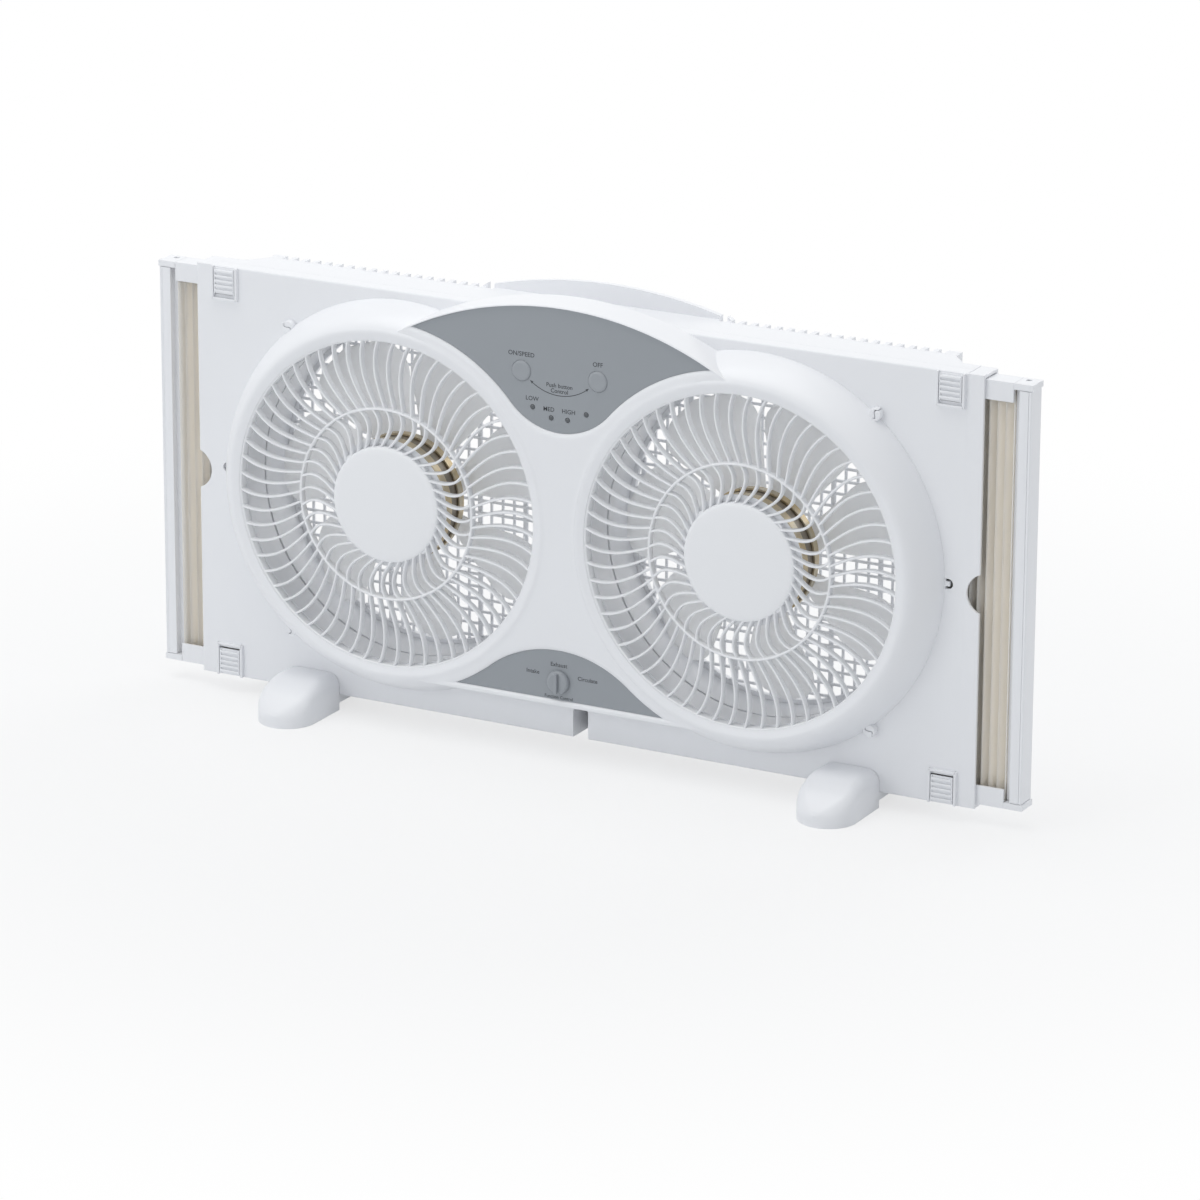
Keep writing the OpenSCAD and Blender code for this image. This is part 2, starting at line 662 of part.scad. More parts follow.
module blade() {
    nr = 9;
    nc = 6;
    rs = [for (i = [0:nr]) mix(hub_r - 2, blade_r, pow(i / nr, 0.75))];
    front = [for (i = [0:nr], j = [0:nc]) blade_point(rs[i], -1 + 2 * j / nc, -1)];
    rear = [for (i = [0:nr], j = [0:nc]) blade_point(rs[i], -1 + 2 * j / nc, 1)];
    m = nc + 1;
    q = (nr + 1) * m;
    skin = [for (i = [0:nr - 1], j = [0:nc - 1]) let(k = i * m + j) each
        [[k, k + m + 1, k + m], [k, k + 1, k + m + 1],
        [q + k, q + k + m, q + k + m + 1], [q + k, q + k + m + 1, q + k + 1]]];
    edges = [for (i = [0:nr - 1]) let(k = i * m, l = k + nc) each
        [[k, k + m, q + k + m], [k, q + k + m, q + k],
        [l, q + l + m, l + m], [l, q + l, q + l + m]]];
    ends = [for (j = [0:nc - 1]) let(k = nr * m + j) each
        [[j, q + j + 1, j + 1], [j, q + j, q + j + 1],
        [k, k + 1, q + k + 1], [k, q + k + 1, q + k]]];
    polyhedron(concat(front, rear), concat(skin, edges, ends), convexity = 4);
}

blade_y = (fan_y0 + fan_y1) / 2;

module fan_blades(s) color(pale) translate([s * fan_x, 0, axis_z]) difference() {
    union() {
        turned([[0, fan_y0], [hub_r - hub_soft, fan_y0], [hub_r, fan_y0 + hub_soft], [hub_r, fan_y1 - hub_soft],
            [hub_r - hub_soft, fan_y1],
            [0, fan_y1]]);
        for (i = [0:blades - 1]) translate([0, blade_y, 0]) rotate([0, -i * 360 / blades - 14, 0]) blade();
    }
    bar_y(shaft_r + 0.02, fan_y0 - 1, fan_y1 + 1);
}

module blade_nut(s) color(dark) translate([s * fan_x, 0, axis_z]) difference() {
    translate([0, fan_y1 + nut_h + 0.1, 0]) rotate([90, 0, 0]) cylinder(r = shaft_r + 4, h = nut_h, $fn = 6);
    bar_y(shaft_r + 0.02, fan_y1 - 1, fan_y1 + nut_h + 2);
}

module shaft(s) color(steel)
    bar_y(shaft_r, motor_y0 + 0.3, fan_y1 + nut_h + 0.6, s * fan_x, axis_z);

module rotor(s) color(steel) translate([s * fan_x, 0, axis_z]) difference() {
    bar_y(rotor_r, motor_y0 + bracket_d, motor_y1 - bracket_d);
    bar_y(shaft_r + 0.02, motor_y0, motor_y1);
}

// Cup over one end of the core, with four ears for the screws
module bracket(s, y_end, y_rim) color(gold) translate([s * fan_x, 0, axis_z]) difference() {
    d = sign(y_rim - y_end);
    union() {
        turned([[0, y_end], [motor_r - 3, y_end], [motor_r, y_end + d * 3], [motor_r, y_rim],
            [motor_r - bracket_t, y_rim], [motor_r - bracket_t, y_end + d * 3.6], [motor_r - 3.6, y_end + d * bracket_t],
            [0, y_end + d * bracket_t]]);
    }
    bar_y(bush_r + 0.02, motor_y0 - 1, motor_y1 + 1);
    for (a = [45:90:315])
        bar_y(screw_r + 0.15, motor_y0 - 1, motor_y1 + 1, screw_ring_r * cos(a), screw_ring_r * sin(a));
    for (a = [0:30:330]) if (a % 90 != 45)
        bar_y(3.2, motor_y0 - 1, motor_y1 + 1, 24 * cos(a), 24 * sin(a));
}

module front_bracket(s) bracket(s, motor_y0, motor_y0 + bracket_d);

module rear_bracket(s) bracket(s, motor_y1, motor_y1 - bracket_d);

module bushes(s) color([0.66, 0.50, 0.28]) translate([s * fan_x, 0, axis_z]) for (y = [motor_y0, motor_y1 - bush_l])
    difference() {
        bar_y(bush_r, y, y + bush_l);
        bar_y(shaft_r + running, y - 1, y + bush_l + 1);
    }

module stator(s) color(dark) translate([s * fan_x, 0, axis_z]) difference() {
    bar_y(core_r, motor_y0 + bracket_d - 2, motor_y1 - bracket_d + 2);
    bar_y(rotor_r + 0.6, motor_y0, motor_y1);
    for (a = [0:60:300]) rotate([0, -a, 0])
        block(rotor_r + 4, core_r - 9, motor_y0, motor_y1, -4.4, 4.4);
    for (a = [45:90:315])
        bar_y(screw_r + 0.2, motor_y0, motor_y1, screw_ring_r * cos(a), screw_ring_r * sin(a));
}

// Six coils, each wound between two slots of the core
module coils(s) color([0.66, 0.36, 0.20]) translate([s * fan_x, 0, axis_z]) for (a = [0:60:300]) rotate([0, -a, 0])
    block(rotor_r + 4.3, core_r - 9.3, motor_y0 + bracket_t + 1.4, motor_y1 - bracket_t - 1.4, -4.1, 4.1);

module screw_head(r, y0, y1) difference() {
    turned([[0, y0], [r, y0], [r, y1 - 0.6], [r * 0.7, y1], [0, y1]]);
    for (a = [0, 90]) rotate([0, a, 0]) block(-r * 0.6, r * 0.6, y1 - 0.7, y1 + 1, -0.35, 0.35);
}

module motor_screws() color(steel) each_fan() for (a = [45:90:315])
    translate([screw_ring_r * cos(a), 0, screw_ring_r * sin(a)]) {
        bar_y(screw_r, grille_y + 2.8, motor_y1 + 0.05);
        screw_head(head_r, motor_y1 + 0.05, motor_y1 + 1.4);
    }

module housing_screws() color(steel) for (p = boss_at) both_sides() translate([p[0], 0, axis_z + p[1]]) {
    bar_y(screw_r, slab_y0 + wall + 1, slab_y1 + 1.1);
    screw_head(head_r, slab_y1 + 1.05, slab_y1 + 2.8);
}

module grille_screws() color(steel) for (p = tray_at) both_sides() translate([p[0], 0, p[1]]) {
    bar_y(screw_r, slab_y1 + 3, back_y - 2.3);
    screw_head(head_r, back_y - 2.35, back_y - 0.5);
}

// ---- Side rails, stiles and curtains ----

// Rail with an open side towards the curtain
module rail() difference() {
    block(stile_x - rail_l, stile_x, rail_y0, rail_y1, rail_top - rail_h, rail_top);
    block(stile_x - rail_l - 1, stile_x + 1, rail_y0 + rail_wall, rail_y1 - rail_wall,
        rail_top - rail_h - 1, rail_top - rail_wall);
}

module expander(s) color(white) side(s) difference() {
    union() {
        rail();
        low() rail();
        block(stile_x - eps, stile_x + stile_gap + 1, rail_y0 + 5, rail_y1, rail_base, rail_top);
        block(stile_x + stile_gap, stile_x + stile_gap + stile_w, rail_y0, rail_y1, rail_base, rail_top);
    }
    block(stile_x + stile_gap + 2, stile_x + stile_gap + stile_w - 2, rail_y0 + 2, rail_y1 - 2,
        rail_base - 1, rail_top + 1);
    for (z = [rail_base - 1, rail_top - cap_t])
        block(stile_x, stile_x + 30, rail_y0 - 1, rail_y1 + 1, z, z + cap_t + 1);
    block(stile_x + stile_gap + stile_w - 1.9, stile_x + stile_gap + stile_w - 0.9, rail_y0 - 1, rail_y0 + 1.2,
        rail_base + 6, rail_top - 6);
}

// Caps that close the stile at both ends, each with its screw hole
module stile_caps(s) color(white) side(s) for (z = [rail_base, rail_top - cap_t + 0.1]) difference() {
    block(stile_x + 0.1, stile_x + stile_gap + stile_w + cap_over, rail_y0, rail_y1 + 0.4, z, z + cap_t - 0.1);
    translate([stile_x + stile_gap + 1.5, rail_y1 - 4.5, z - 1]) cylinder(r = cap_hole_r, h = cap_t + 2, $fn = 48);
}

// Pleated curtain: a zigzag sheet standing between the body and the stile
module curtain(s) color(cream) side(s) {
    x1 = stile_x - 0.2;
    n = 2 * pleats;
    step = (x1 - curtain_x) / n;
    t = leaf_t / 2 / cos(atan2(pleat_d - 2, step));
    swing = pleat_d / 2 - t;
    folds = [for (i = [0:n]) [curtain_x + i * step, curtain_y + (i % 2 == 0 ? -1 : 1) * swing]];
    translate([0, 0, rail_base + rail_wall + 0.4]) linear_extrude(rail_top - rail_base - 2 * rail_wall - 0.8)
        polygon(concat([for (p = folds) p - [0, t]], [for (i = [n:-1:0]) folds[i] + [0, t]]));
}

// ---- Latches ----

// Slider with five grip ribs, and a stem that reaches through the wall to press the rail
module latch() color(white) {
    z0 = top_z - latch_end - latch_h;
    z1 = top_z - latch_end;
    zc = (z0 + z1) / 2;
    block(latch_x - latch_w / 2, latch_x + latch_w / 2, slab_y0 - 2.2, slab_y0 - 0.6, z0, z1);
    for (i = [0:4])
        block(latch_x - latch_w / 2 + 0.8, latch_x + latch_w / 2 - 0.8, slab_y0 - 3.2, slab_y0 - 2.1,
            z0 + 1.6 + i * (latch_h - 2) / 5, z0 + 1.6 + i * (latch_h - 2) / 5 + 1.5);
    block(latch_x - stem_w / 2, latch_x + stem_w / 2, slab_y0 - 0.7, slab_y0 + wall, zc - stem_h / 2, zc + stem_h / 2);
}

// ---- Feet ----

foot_x = foot_pitch / 2;
heel_y = (foot_l - foot_w) / 2;     // centre of the round heel behind
toe_y = -heel_y;                    // centre of the round toe in front
bridge_z = 5.2;
foot_rise = 16;                     // how far a foot reaches up beside the body
foot_soft = 6.5;
sole_h = 8;
arch_in = 3;                         // how far the gap under a bridge runs into its two ends
foot_screw_y = (slab_y1 + tray_y) / 2;     // midway between the slab and the rear grille
foot_screw_dx = 9;

module foot_bosses() for (dx = [-foot_screw_dx, foot_screw_dx])
    translate([foot_x + dx, foot_screw_y, base_z]) cylinder(r = boss_r, h = 10);

// Rounded end of a foot: a round sole whose front slopes up to two soft shoulders at the body
module foot_end(y, wall_y) {
    r = foot_w / 2;
    reach = wall_y - y + sign(wall_y - y) * r;      // from the tip of the sole to the body
    top = foot_h + foot_rise;
    slope = [[0, 0], [0, sole_h], [0.07, 0.44 * top], [0.16, 0.59 * top], [0.27, 0.74 * top], [0.39, 0.865 * top],
        [0.52, 0.955 * top], [0.66, top], [1, 0.965 * top], [1, 0]];
    intersection() {
        union() {
            translate([0, y, 0]) cylinder(r = r, h = top + 1);
            block(-r, r, min(y, wall_y), max(y, wall_y), 0, top + 1);
        }
        translate([-r, 0, 0]) rotate([90, 0, 90]) linear_extrude(2 * r)
            polygon([for (p = slope) [wall_y - reach * (1 - p[0]), p[1]]]);
        translate([0, foot_l, 0]) rotate([90, 0, 0]) linear_extrude(2 * foot_l) {
            translate([-r, 0]) square([2 * r, top - foot_soft]);
            translate([foot_soft - r, 0]) square([2 * (r - foot_soft), top]);
            for (s = [-1, 1]) translate([s * (r - foot_soft), top - foot_soft]) circle(foot_soft);
        }
    }
}

// Foot: a flat bridge under the body with a rounded toe in front and a rounded heel behind
module foot(s) color(white) translate([s * foot_x, 0, 0]) difference() {
    union() {
        block(-foot_w / 2, foot_w / 2, toe_y, heel_y, bridge_z, foot_h - 0.2);
        foot_end(toe_y, slab_y0);
        foot_end(heel_y, back_y);
    }
    block(-foot_w, foot_w, slab_y0 - fit, back_y + fit, foot_h - 0.2, foot_h + 40);
    block(-foot_w, foot_w, slab_y0 - arch_in, back_y + arch_in, -1, bridge_z);
    for (dx = [-foot_screw_dx, foot_screw_dx]) translate([dx, foot_screw_y, 0]) {
        cylinder(r = screw_r + 0.2, h = foot_h + 1);
        cylinder(r = head_r + fit, h = foot_h / 2 + 2);
    }
}

module foot_screws() color(steel) both_sides() for (dx = [-foot_screw_dx, foot_screw_dx])
    translate([foot_x + dx, foot_screw_y, 0]) {
        translate([0, 0, foot_h / 2 + 1.9]) cylinder(r = screw_r, h = foot_screw_l);
        translate([0, 0, foot_h / 2 + 0.4]) cylinder(r = head_r, h = 1.55);
    }

front_bezel();
front_housing();
rear_housing();
rear_grille();
end_frame(-1);  // left_end_frame
end_frame(1);  // right_end_frame
front_grille(-1);  // left_front_grille
front_grille(1);  // right_front_grille
control_panel();
function_panel();
push_button(-1);  // speed_button
push_button(1);  // off_button
indicator_lenses();
control_board();
function_dial();
function_switch();
fan_blades(-1);  // left_fan_blades
fan_blades(1);  // right_fan_blades
blade_nut(-1);  // left_blade_nut
blade_nut(1);  // right_blade_nut
shaft(-1);  // left_shaft
shaft(1);  // right_shaft
rotor(-1);  // left_rotor
rotor(1);  // right_rotor
front_bracket(-1);  // left_front_bracket
front_bracket(1);  // right_front_bracket
rear_bracket(-1);  // left_rear_bracket
rear_bracket(1);  // right_rear_bracket
bushes(-1);  // left_bushes
bushes(1);  // right_bushes
stator(-1);  // left_stator
stator(1);  // right_stator
coils(-1);  // left_coils
coils(1);  // right_coils
motor_screws();
housing_screws();
grille_screws();
expander(-1);  // left_expander
expander(1);  // right_expander
stile_caps(-1);  // left_stile_caps
stile_caps(1);  // right_stile_caps
curtain(-1);  // left_curtain
curtain(1);  // right_curtain
side(-1) latch();  // top_left_latch
latch();  // top_right_latch
side(-1) low() latch();  // bottom_left_latch
low() latch();  // bottom_right_latch
foot(-1);  // left_foot
foot(1);  // right_foot
foot_screws();
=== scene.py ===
"""Twin window fan with pull-out side curtains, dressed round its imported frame.

Sizes are in millimetres in the part's own frame: the floor is z = 0, the fans face -y.
cast() turns each piece into metres as it is made.
"""

import math

import bmesh
import bpy
from mathutils import Matrix, Vector


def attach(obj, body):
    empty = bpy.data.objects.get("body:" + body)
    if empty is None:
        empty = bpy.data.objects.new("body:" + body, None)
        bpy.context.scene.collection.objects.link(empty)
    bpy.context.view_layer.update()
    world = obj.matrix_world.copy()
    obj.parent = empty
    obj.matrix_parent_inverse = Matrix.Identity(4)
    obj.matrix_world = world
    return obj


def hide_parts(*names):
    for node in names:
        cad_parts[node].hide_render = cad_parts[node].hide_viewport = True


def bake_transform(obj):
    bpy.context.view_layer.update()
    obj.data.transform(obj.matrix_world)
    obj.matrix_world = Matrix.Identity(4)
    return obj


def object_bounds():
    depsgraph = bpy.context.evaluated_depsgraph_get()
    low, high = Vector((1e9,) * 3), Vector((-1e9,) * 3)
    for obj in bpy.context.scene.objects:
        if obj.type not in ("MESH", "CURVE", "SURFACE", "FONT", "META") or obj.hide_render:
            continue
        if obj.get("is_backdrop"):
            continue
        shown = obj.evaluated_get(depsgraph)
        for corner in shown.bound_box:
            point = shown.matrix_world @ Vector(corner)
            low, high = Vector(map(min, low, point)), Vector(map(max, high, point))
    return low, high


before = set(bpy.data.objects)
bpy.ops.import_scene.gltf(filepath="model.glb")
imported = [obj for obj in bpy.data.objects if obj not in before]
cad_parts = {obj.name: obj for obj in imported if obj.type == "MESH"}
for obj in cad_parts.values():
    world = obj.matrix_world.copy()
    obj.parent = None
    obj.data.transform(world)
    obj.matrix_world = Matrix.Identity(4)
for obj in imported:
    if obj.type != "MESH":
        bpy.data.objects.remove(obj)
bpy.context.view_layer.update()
scene = bpy.context.scene


# ---- Camera ----
# Stands to the right of the fan and a little above it, far off with a long lens.
# Its shift only puts the fan where it lies in the frame.
aim = Vector((0.0041, -0.009, 0.1283))
away = Vector((0.454, -0.839, 0.301)).normalized()
stand_off = 3.931
level = (-away).cross(Vector((0, 0, 1))).normalized()
upright = level.cross(-away)
tilt = math.radians(0.18)
right_hand = level * math.cos(tilt) + upright * math.sin(tilt)
overhead = upright * math.cos(tilt) - level * math.sin(tilt)
camera = bpy.data.objects.new("camera", bpy.data.cameras.new("camera"))
camera.matrix_world = (Matrix.Translation(aim + away * stand_off)
                       @ Matrix((right_hand, overhead, away)).transposed().to_4x4())
camera.data.sensor_width = 36
camera.data.lens = 179.2
camera.data.shift_x = 0.015
camera.data.shift_y = -0.025
camera.data.clip_end = 60
scene.collection.objects.link(camera)
scene.camera = camera
scene.view_settings.view_transform = "Standard"


# ---- Room ----
# A pale floor that turns white away from the fan, even light from all round, and three
# large soft lamps: one above, one in front, and one behind that lights the ducts.
def wire(tree, kind, **settings):
    """Adds a node, sets its properties, and gives each named input its value or its link.

    An input without a name of its own is given by its number: _0, _1 and so on.
    """
    node = tree.nodes.new(kind)
    for name, value in settings.items():
        if hasattr(node, name):
            setattr(node, name, value)
            continue
        number = name[1:]
        socket = node.inputs[int(number) if number.isdigit() else name.replace("_", " ")]
        if isinstance(value, bpy.types.NodeSocket):
            tree.links.new(value, socket)
        else:
            socket.default_value = value
    return node


def backdrop_rays(tree):
    """1 for the rays that see the background: straight, in a gloss, or through a clear part."""
    rays = wire(tree, "ShaderNodeLightPath")
    seen = wire(tree, "ShaderNodeMath", operation="ADD", _0=rays.outputs["Is Camera Ray"],
                _1=rays.outputs["Is Glossy Ray"])
    seen = wire(tree, "ShaderNodeMath", operation="ADD", use_clamp=True, _0=seen.outputs[0],
                _1=rays.outputs["Is Transmission Ray"])
    return seen.outputs[0]


studio = bpy.data.worlds.new("studio")
scene.world = studio
studio.use_nodes = True
sky = studio.node_tree
sky.nodes.clear()
even = wire(sky, "ShaderNodeBackground", Color=(0.955, 0.975, 1.0, 1), Strength=0.58)
white = wire(sky, "ShaderNodeBackground", Color=(1, 1, 1, 1), Strength=1.0)
both = wire(sky, "ShaderNodeMixShader", _0=backdrop_rays(sky), _1=even.outputs[0],
            _2=white.outputs[0])
wire(sky, "ShaderNodeOutputWorld", _0=both.outputs[0])


fan_middle = Vector((0, 0, 0.15))


def soft_lamp(name, place, size, power, tint):
    """A square lamp that faces the middle of the fan."""
    lamp = bpy.data.objects.new(name, bpy.data.lights.new(name, "AREA"))
    lamp.data.size = size
    lamp.data.energy = power
    lamp.data.color = tint
    lamp.location = place
    beam = fan_middle - Vector(place)
    lamp.rotation_euler = beam.to_track_quat("-Z", "Y").to_euler()
    scene.collection.objects.link(lamp)


soft_lamp("lamp_above", (-0.4, -0.25, 2.3), 1.8, 21, (1.0, 0.995, 0.98))
soft_lamp("lamp_front", (-1.2, -2.2, 0.8), 1.2, 7.5, (0.98, 0.99, 1.0))
soft_lamp("lamp_behind", (0.5, 2.0, 0.6), 1.6, 16, (1.0, 1.0, 1.0))

ground = bpy.data.materials.new("pale_floor")
ground.use_nodes = True
tree = ground.node_tree
tree.nodes.clear()
place = wire(tree, "ShaderNodeTexCoord")
reach = wire(tree, "ShaderNodeVectorMath", operation="LENGTH", _0=place.outputs["Object"])
fade = wire(tree, "ShaderNodeMapRange", interpolation_type="SMOOTHSTEP",
            Value=reach.outputs["Value"], From_Min=0.30, From_Max=0.85, To_Min=0.68, To_Max=1.0)
share = wire(tree, "ShaderNodeMath", operation="MULTIPLY", _0=backdrop_rays(tree),
             _1=fade.outputs[0])
matt = wire(tree, "ShaderNodeBsdfDiffuse", Color=(0.84, 0.85, 0.86, 1))
glow = wire(tree, "ShaderNodeEmission", Color=(1, 1, 1, 1), Strength=1.0)
both = wire(tree, "ShaderNodeMixShader", _0=share.outputs[0], _1=matt.outputs[0],
            _2=glow.outputs[0])
wire(tree, "ShaderNodeOutputMaterial", _0=both.outputs[0])
floor_half = 30
floor_corners = [(-floor_half, -floor_half, 0), (floor_half, -floor_half, 0),
                 (floor_half, floor_half, 0), (-floor_half, floor_half, 0)]
floor_mesh = bpy.data.meshes.new("floor")
floor_mesh.from_pydata(floor_corners, [], [(0, 1, 2, 3)])
floor_mesh.materials.append(ground)
floor = bpy.data.objects.new("floor", floor_mesh)
scene.collection.objects.link(floor)
floor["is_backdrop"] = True


# ---- Rear housing ----
# The back half of the slab with the box behind it and both air ducts, one moulding in
# white plastic, screwed to the front half from behind.
def moulded(name, tone, low=0.30, high=0.40, grain=0.05, drift=0.02, **more):
    """Moulded plastic: a fine mould grain, uneven gloss, and a colour that drifts slightly."""
    finish = bpy.data.materials.new(name)
    finish.use_nodes = True
    tree = finish.node_tree
    skin = tree.nodes["Principled BSDF"]
    skin.inputs["IOR"].default_value = 1.48
    for socket, value in more.items():
        skin.inputs[socket.replace("_", " ")].default_value = value
    place = wire(tree, "ShaderNodeTexCoord").outputs["Object"]
    cloud = wire(tree, "ShaderNodeTexNoise", Vector=place, Scale=14.0, Detail=3.0)
    dull = tuple(c * (1 - drift) for c in tone)
    shade = wire(tree, "ShaderNodeMix", data_type="RGBA", _0=cloud.outputs["Fac"], _6=(*dull, 1),
                 _7=(*tone, 1))
    tree.links.new(shade.outputs[2], skin.inputs["Base Color"])
    smear = wire(tree, "ShaderNodeTexNoise", Vector=place, Scale=55.0, Detail=4.0)
    gloss = wire(tree, "ShaderNodeMapRange", Value=smear.outputs["Fac"], From_Min=0.3,
                 From_Max=0.7, To_Min=low, To_Max=high)
    tree.links.new(gloss.outputs[0], skin.inputs["Roughness"])
    pits = wire(tree, "ShaderNodeTexNoise", Vector=place, Scale=1500.0, Detail=2.0)
    rough = wire(tree, "ShaderNodeBump", Strength=grain, Distance=0.0002,
                 Height=pits.outputs["Fac"])
    tree.links.new(rough.outputs[0], skin.inputs["Normal"])
    return finish


def keep(finish, slot, *names):
    """Gives carried-over solids their finish."""
    for name in names:
        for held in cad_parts[name].material_slots:
            held.material = finish


white_shell = moulded("white_shell", (0.89, 0.90, 0.925))
keep(white_shell, "white_plastic", "rear_housing")


# ---- Motors ----
# Each motor is a dark laminated core between two yellow-passivated brackets, with copper
# coils and a steel rotor on a shaft in bronze bushes. Four long screws hold it to the grille.
def metal(name, tone, roughness, brushed, patches=0.0, other=None):
    """Bare or plated metal, brushed round its axis and with patches of another tone."""
    finish = bpy.data.materials.new(name)
    finish.use_nodes = True
    tree = finish.node_tree
    skin = tree.nodes["Principled BSDF"]
    skin.inputs["Metallic"].default_value = 1.0
    place = wire(tree, "ShaderNodeTexCoord").outputs["Object"]
    cloud = wire(tree, "ShaderNodeTexNoise", Vector=place, Scale=70.0, Detail=3.0)
    spread = wire(tree, "ShaderNodeMapRange", Value=cloud.outputs["Fac"], From_Min=0.35,
                  From_Max=0.65, To_Min=0.0, To_Max=patches)
    shade = wire(tree, "ShaderNodeMix", data_type="RGBA", _0=spread.outputs[0],
                 _6=(*tone, 1), _7=(*(other or tone), 1))
    tree.links.new(shade.outputs[2], skin.inputs["Base Color"])
    fine = wire(tree, "ShaderNodeTexNoise", Vector=place, Scale=900.0, Detail=2.0)
    gloss = wire(tree, "ShaderNodeMapRange", Value=fine.outputs["Fac"],
                 To_Min=roughness - 0.06, To_Max=roughness + 0.10)
    tree.links.new(gloss.outputs[0], skin.inputs["Roughness"])
    rough = wire(tree, "ShaderNodeBump", Strength=brushed, Distance=0.0002,
                 Height=fine.outputs["Fac"])
    tree.links.new(rough.outputs[0], skin.inputs["Normal"])
    return finish


passivated = metal("passivated_steel", (0.60, 0.48, 0.29), 0.42, 0.05, 0.8, (0.54, 0.51, 0.44))
bright_steel = metal("bright_steel", (0.62, 0.63, 0.65), 0.26, 0.04)
laminations = metal("core_laminations", (0.30, 0.27, 0.23), 0.48, 0.25)
sintered = metal("sintered_bronze", (0.46, 0.30, 0.13), 0.48, 0.20)
wound_copper = metal("enamelled_copper", (0.62, 0.27, 0.12), 0.32, 0.30)
dark_moulding = moulded("dark_moulding", (0.035, 0.036, 0.04), 0.40, 0.55)
for side in ("left", "right"):
    keep(passivated, "gold_metal", side + "_front_bracket", side + "_rear_bracket")
    keep(laminations, "core_steel", side + "_stator")
    keep(wound_copper, "copper", side + "_coils")
    keep(sintered, "bronze", side + "_bushes")
    keep(bright_steel, "steel", side + "_rotor", side + "_shaft")
    keep(dark_moulding, "dark_plastic", side + "_blade_nut")
keep(bright_steel, "steel", "motor_screws", "housing_screws", "grille_screws", "foot_screws")


# ---- Front grilles ----
# A plain disc, a ring, and two rows of thin spokes that bend opposite ways, moulded in one
# with the outer ring that drops into the housing's rim. Four bosses behind the disc take the
# screws of the motor.
fan_x, axis_z = 131.5, 159.5
grille_front, spoke_depth, spoke_width = -33.2, 4.6, 1.8
disc_radius, ring_radius, grille_radius = 40.0, 65.5, 113.7
outer_spokes, inner_spokes = 60, 40


def turned(work, profile, x, z, steps=128, start=0.0, end=360.0):
    """Turns a profile of (radius, y) points about a line along y through x, z."""
    tiny = 1e-6
    count = steps if abs(end - start - 360) < tiny else steps + 1
    rows = []
    for radius, y in profile:
        if radius < tiny:
            rows.append([work.verts.new((x, y, z))] * count)
            continue
        rows.append([])
        for k in range(count):
            a = math.radians(start + (end - start) * k / steps)
            spot = (x + radius * math.cos(a), y, z + radius * math.sin(a))
            rows[-1].append(work.verts.new(spot))
    for low, high in zip(rows, rows[1:]):
        for k in range(steps):
            n = (k + 1) % count
            corners = []
            for v in (low[k], low[n], high[n], high[k]):
                if v not in corners:
                    corners.append(v)
            if len(corners) > 2:
                work.faces.new(corners)


def ringed(profile):
    """A closed profile, for turned()."""
    return profile + [profile[0]]


def loft(work, rows, caps=True):
    """A skin over closed rows of equal length, with caps over its two ends."""
    made = [[work.verts.new(p) for p in row] for row in rows]
    count = len(rows[0])
    for low, high in zip(made, made[1:]):
        for k in range(count):
            n = (k + 1) % count
            work.faces.new((low[k], low[n], high[n], high[k]))
    if caps:
        work.faces.new(made[0])
        work.faces.new(list(reversed(made[-1])))
    return made


def cast(name, work, finish, body, stands_for=(), crease=38, flats=True):
    """Makes one piece of a mesh in millimetres, with its finish, on its body.

    Edges sharper than the crease angle stay sharp, and flats keeps flat faces flat.
    """
    to_metres = 0.001
    bmesh.ops.recalc_face_normals(work, faces=work.faces)
    bmesh.ops.scale(work, vec=(to_metres, to_metres, to_metres), verts=work.verts)
    mesh = bpy.data.meshes.new(name)
    work.to_mesh(mesh)
    work.free()
    for face in mesh.polygons:
        face.use_smooth = True
    mesh.set_sharp_from_angle(angle=math.radians(crease))
    mesh.materials.append(finish)
    piece = bpy.data.objects.new(name, mesh)
    scene.collection.objects.link(piece)
    if flats:
        even_out = piece.modifiers.new("flats", "WEIGHTED_NORMAL")
        even_out.keep_sharp = True
    if body:
        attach(piece, body)
    if stands_for:
        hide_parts(*stands_for)
    return piece


def swirl_spoke(work, x, start, inner, outer, swing):
    """One spoke with a rounded front, from one radius to another, swung as it goes out."""
    steps = 14
    path = []
    for k in range(steps + 1):
        u = k / steps
        a = math.radians(start + swing(u))
        r = inner + (outer - inner) * u
        path.append(Vector((r * math.cos(a), r * math.sin(a))))
    half = spoke_width / 2
    right_side = [(half * 0.38, grille_front + 0.10), (half * 0.80, grille_front + 0.55),
                  (half, grille_front + 1.3), (half * 0.86, grille_front + spoke_depth)]
    section = [(-u, y) for u, y in reversed(right_side)] + right_side
    rows = []
    for k, p in enumerate(path):
        run = (path[min(k + 1, steps)] - path[max(k - 1, 0)]).normalized()
        across = Vector((-run.y, run.x))
        rows.append([(x + p.x + across.x * s, y, axis_z + p.y + across.y * s)
                     for s, y in section])
    loft(work, rows)


def outer_swing(u):
    """How far an outer spoke has swung, in degrees, at a share of its length."""
    return 16.4 * u - 13.6 * u * u


def inner_swing(u):
    """The same for an inner spoke, which bends the other way."""
    return 9 - 30.5 * u + 25 * u * u


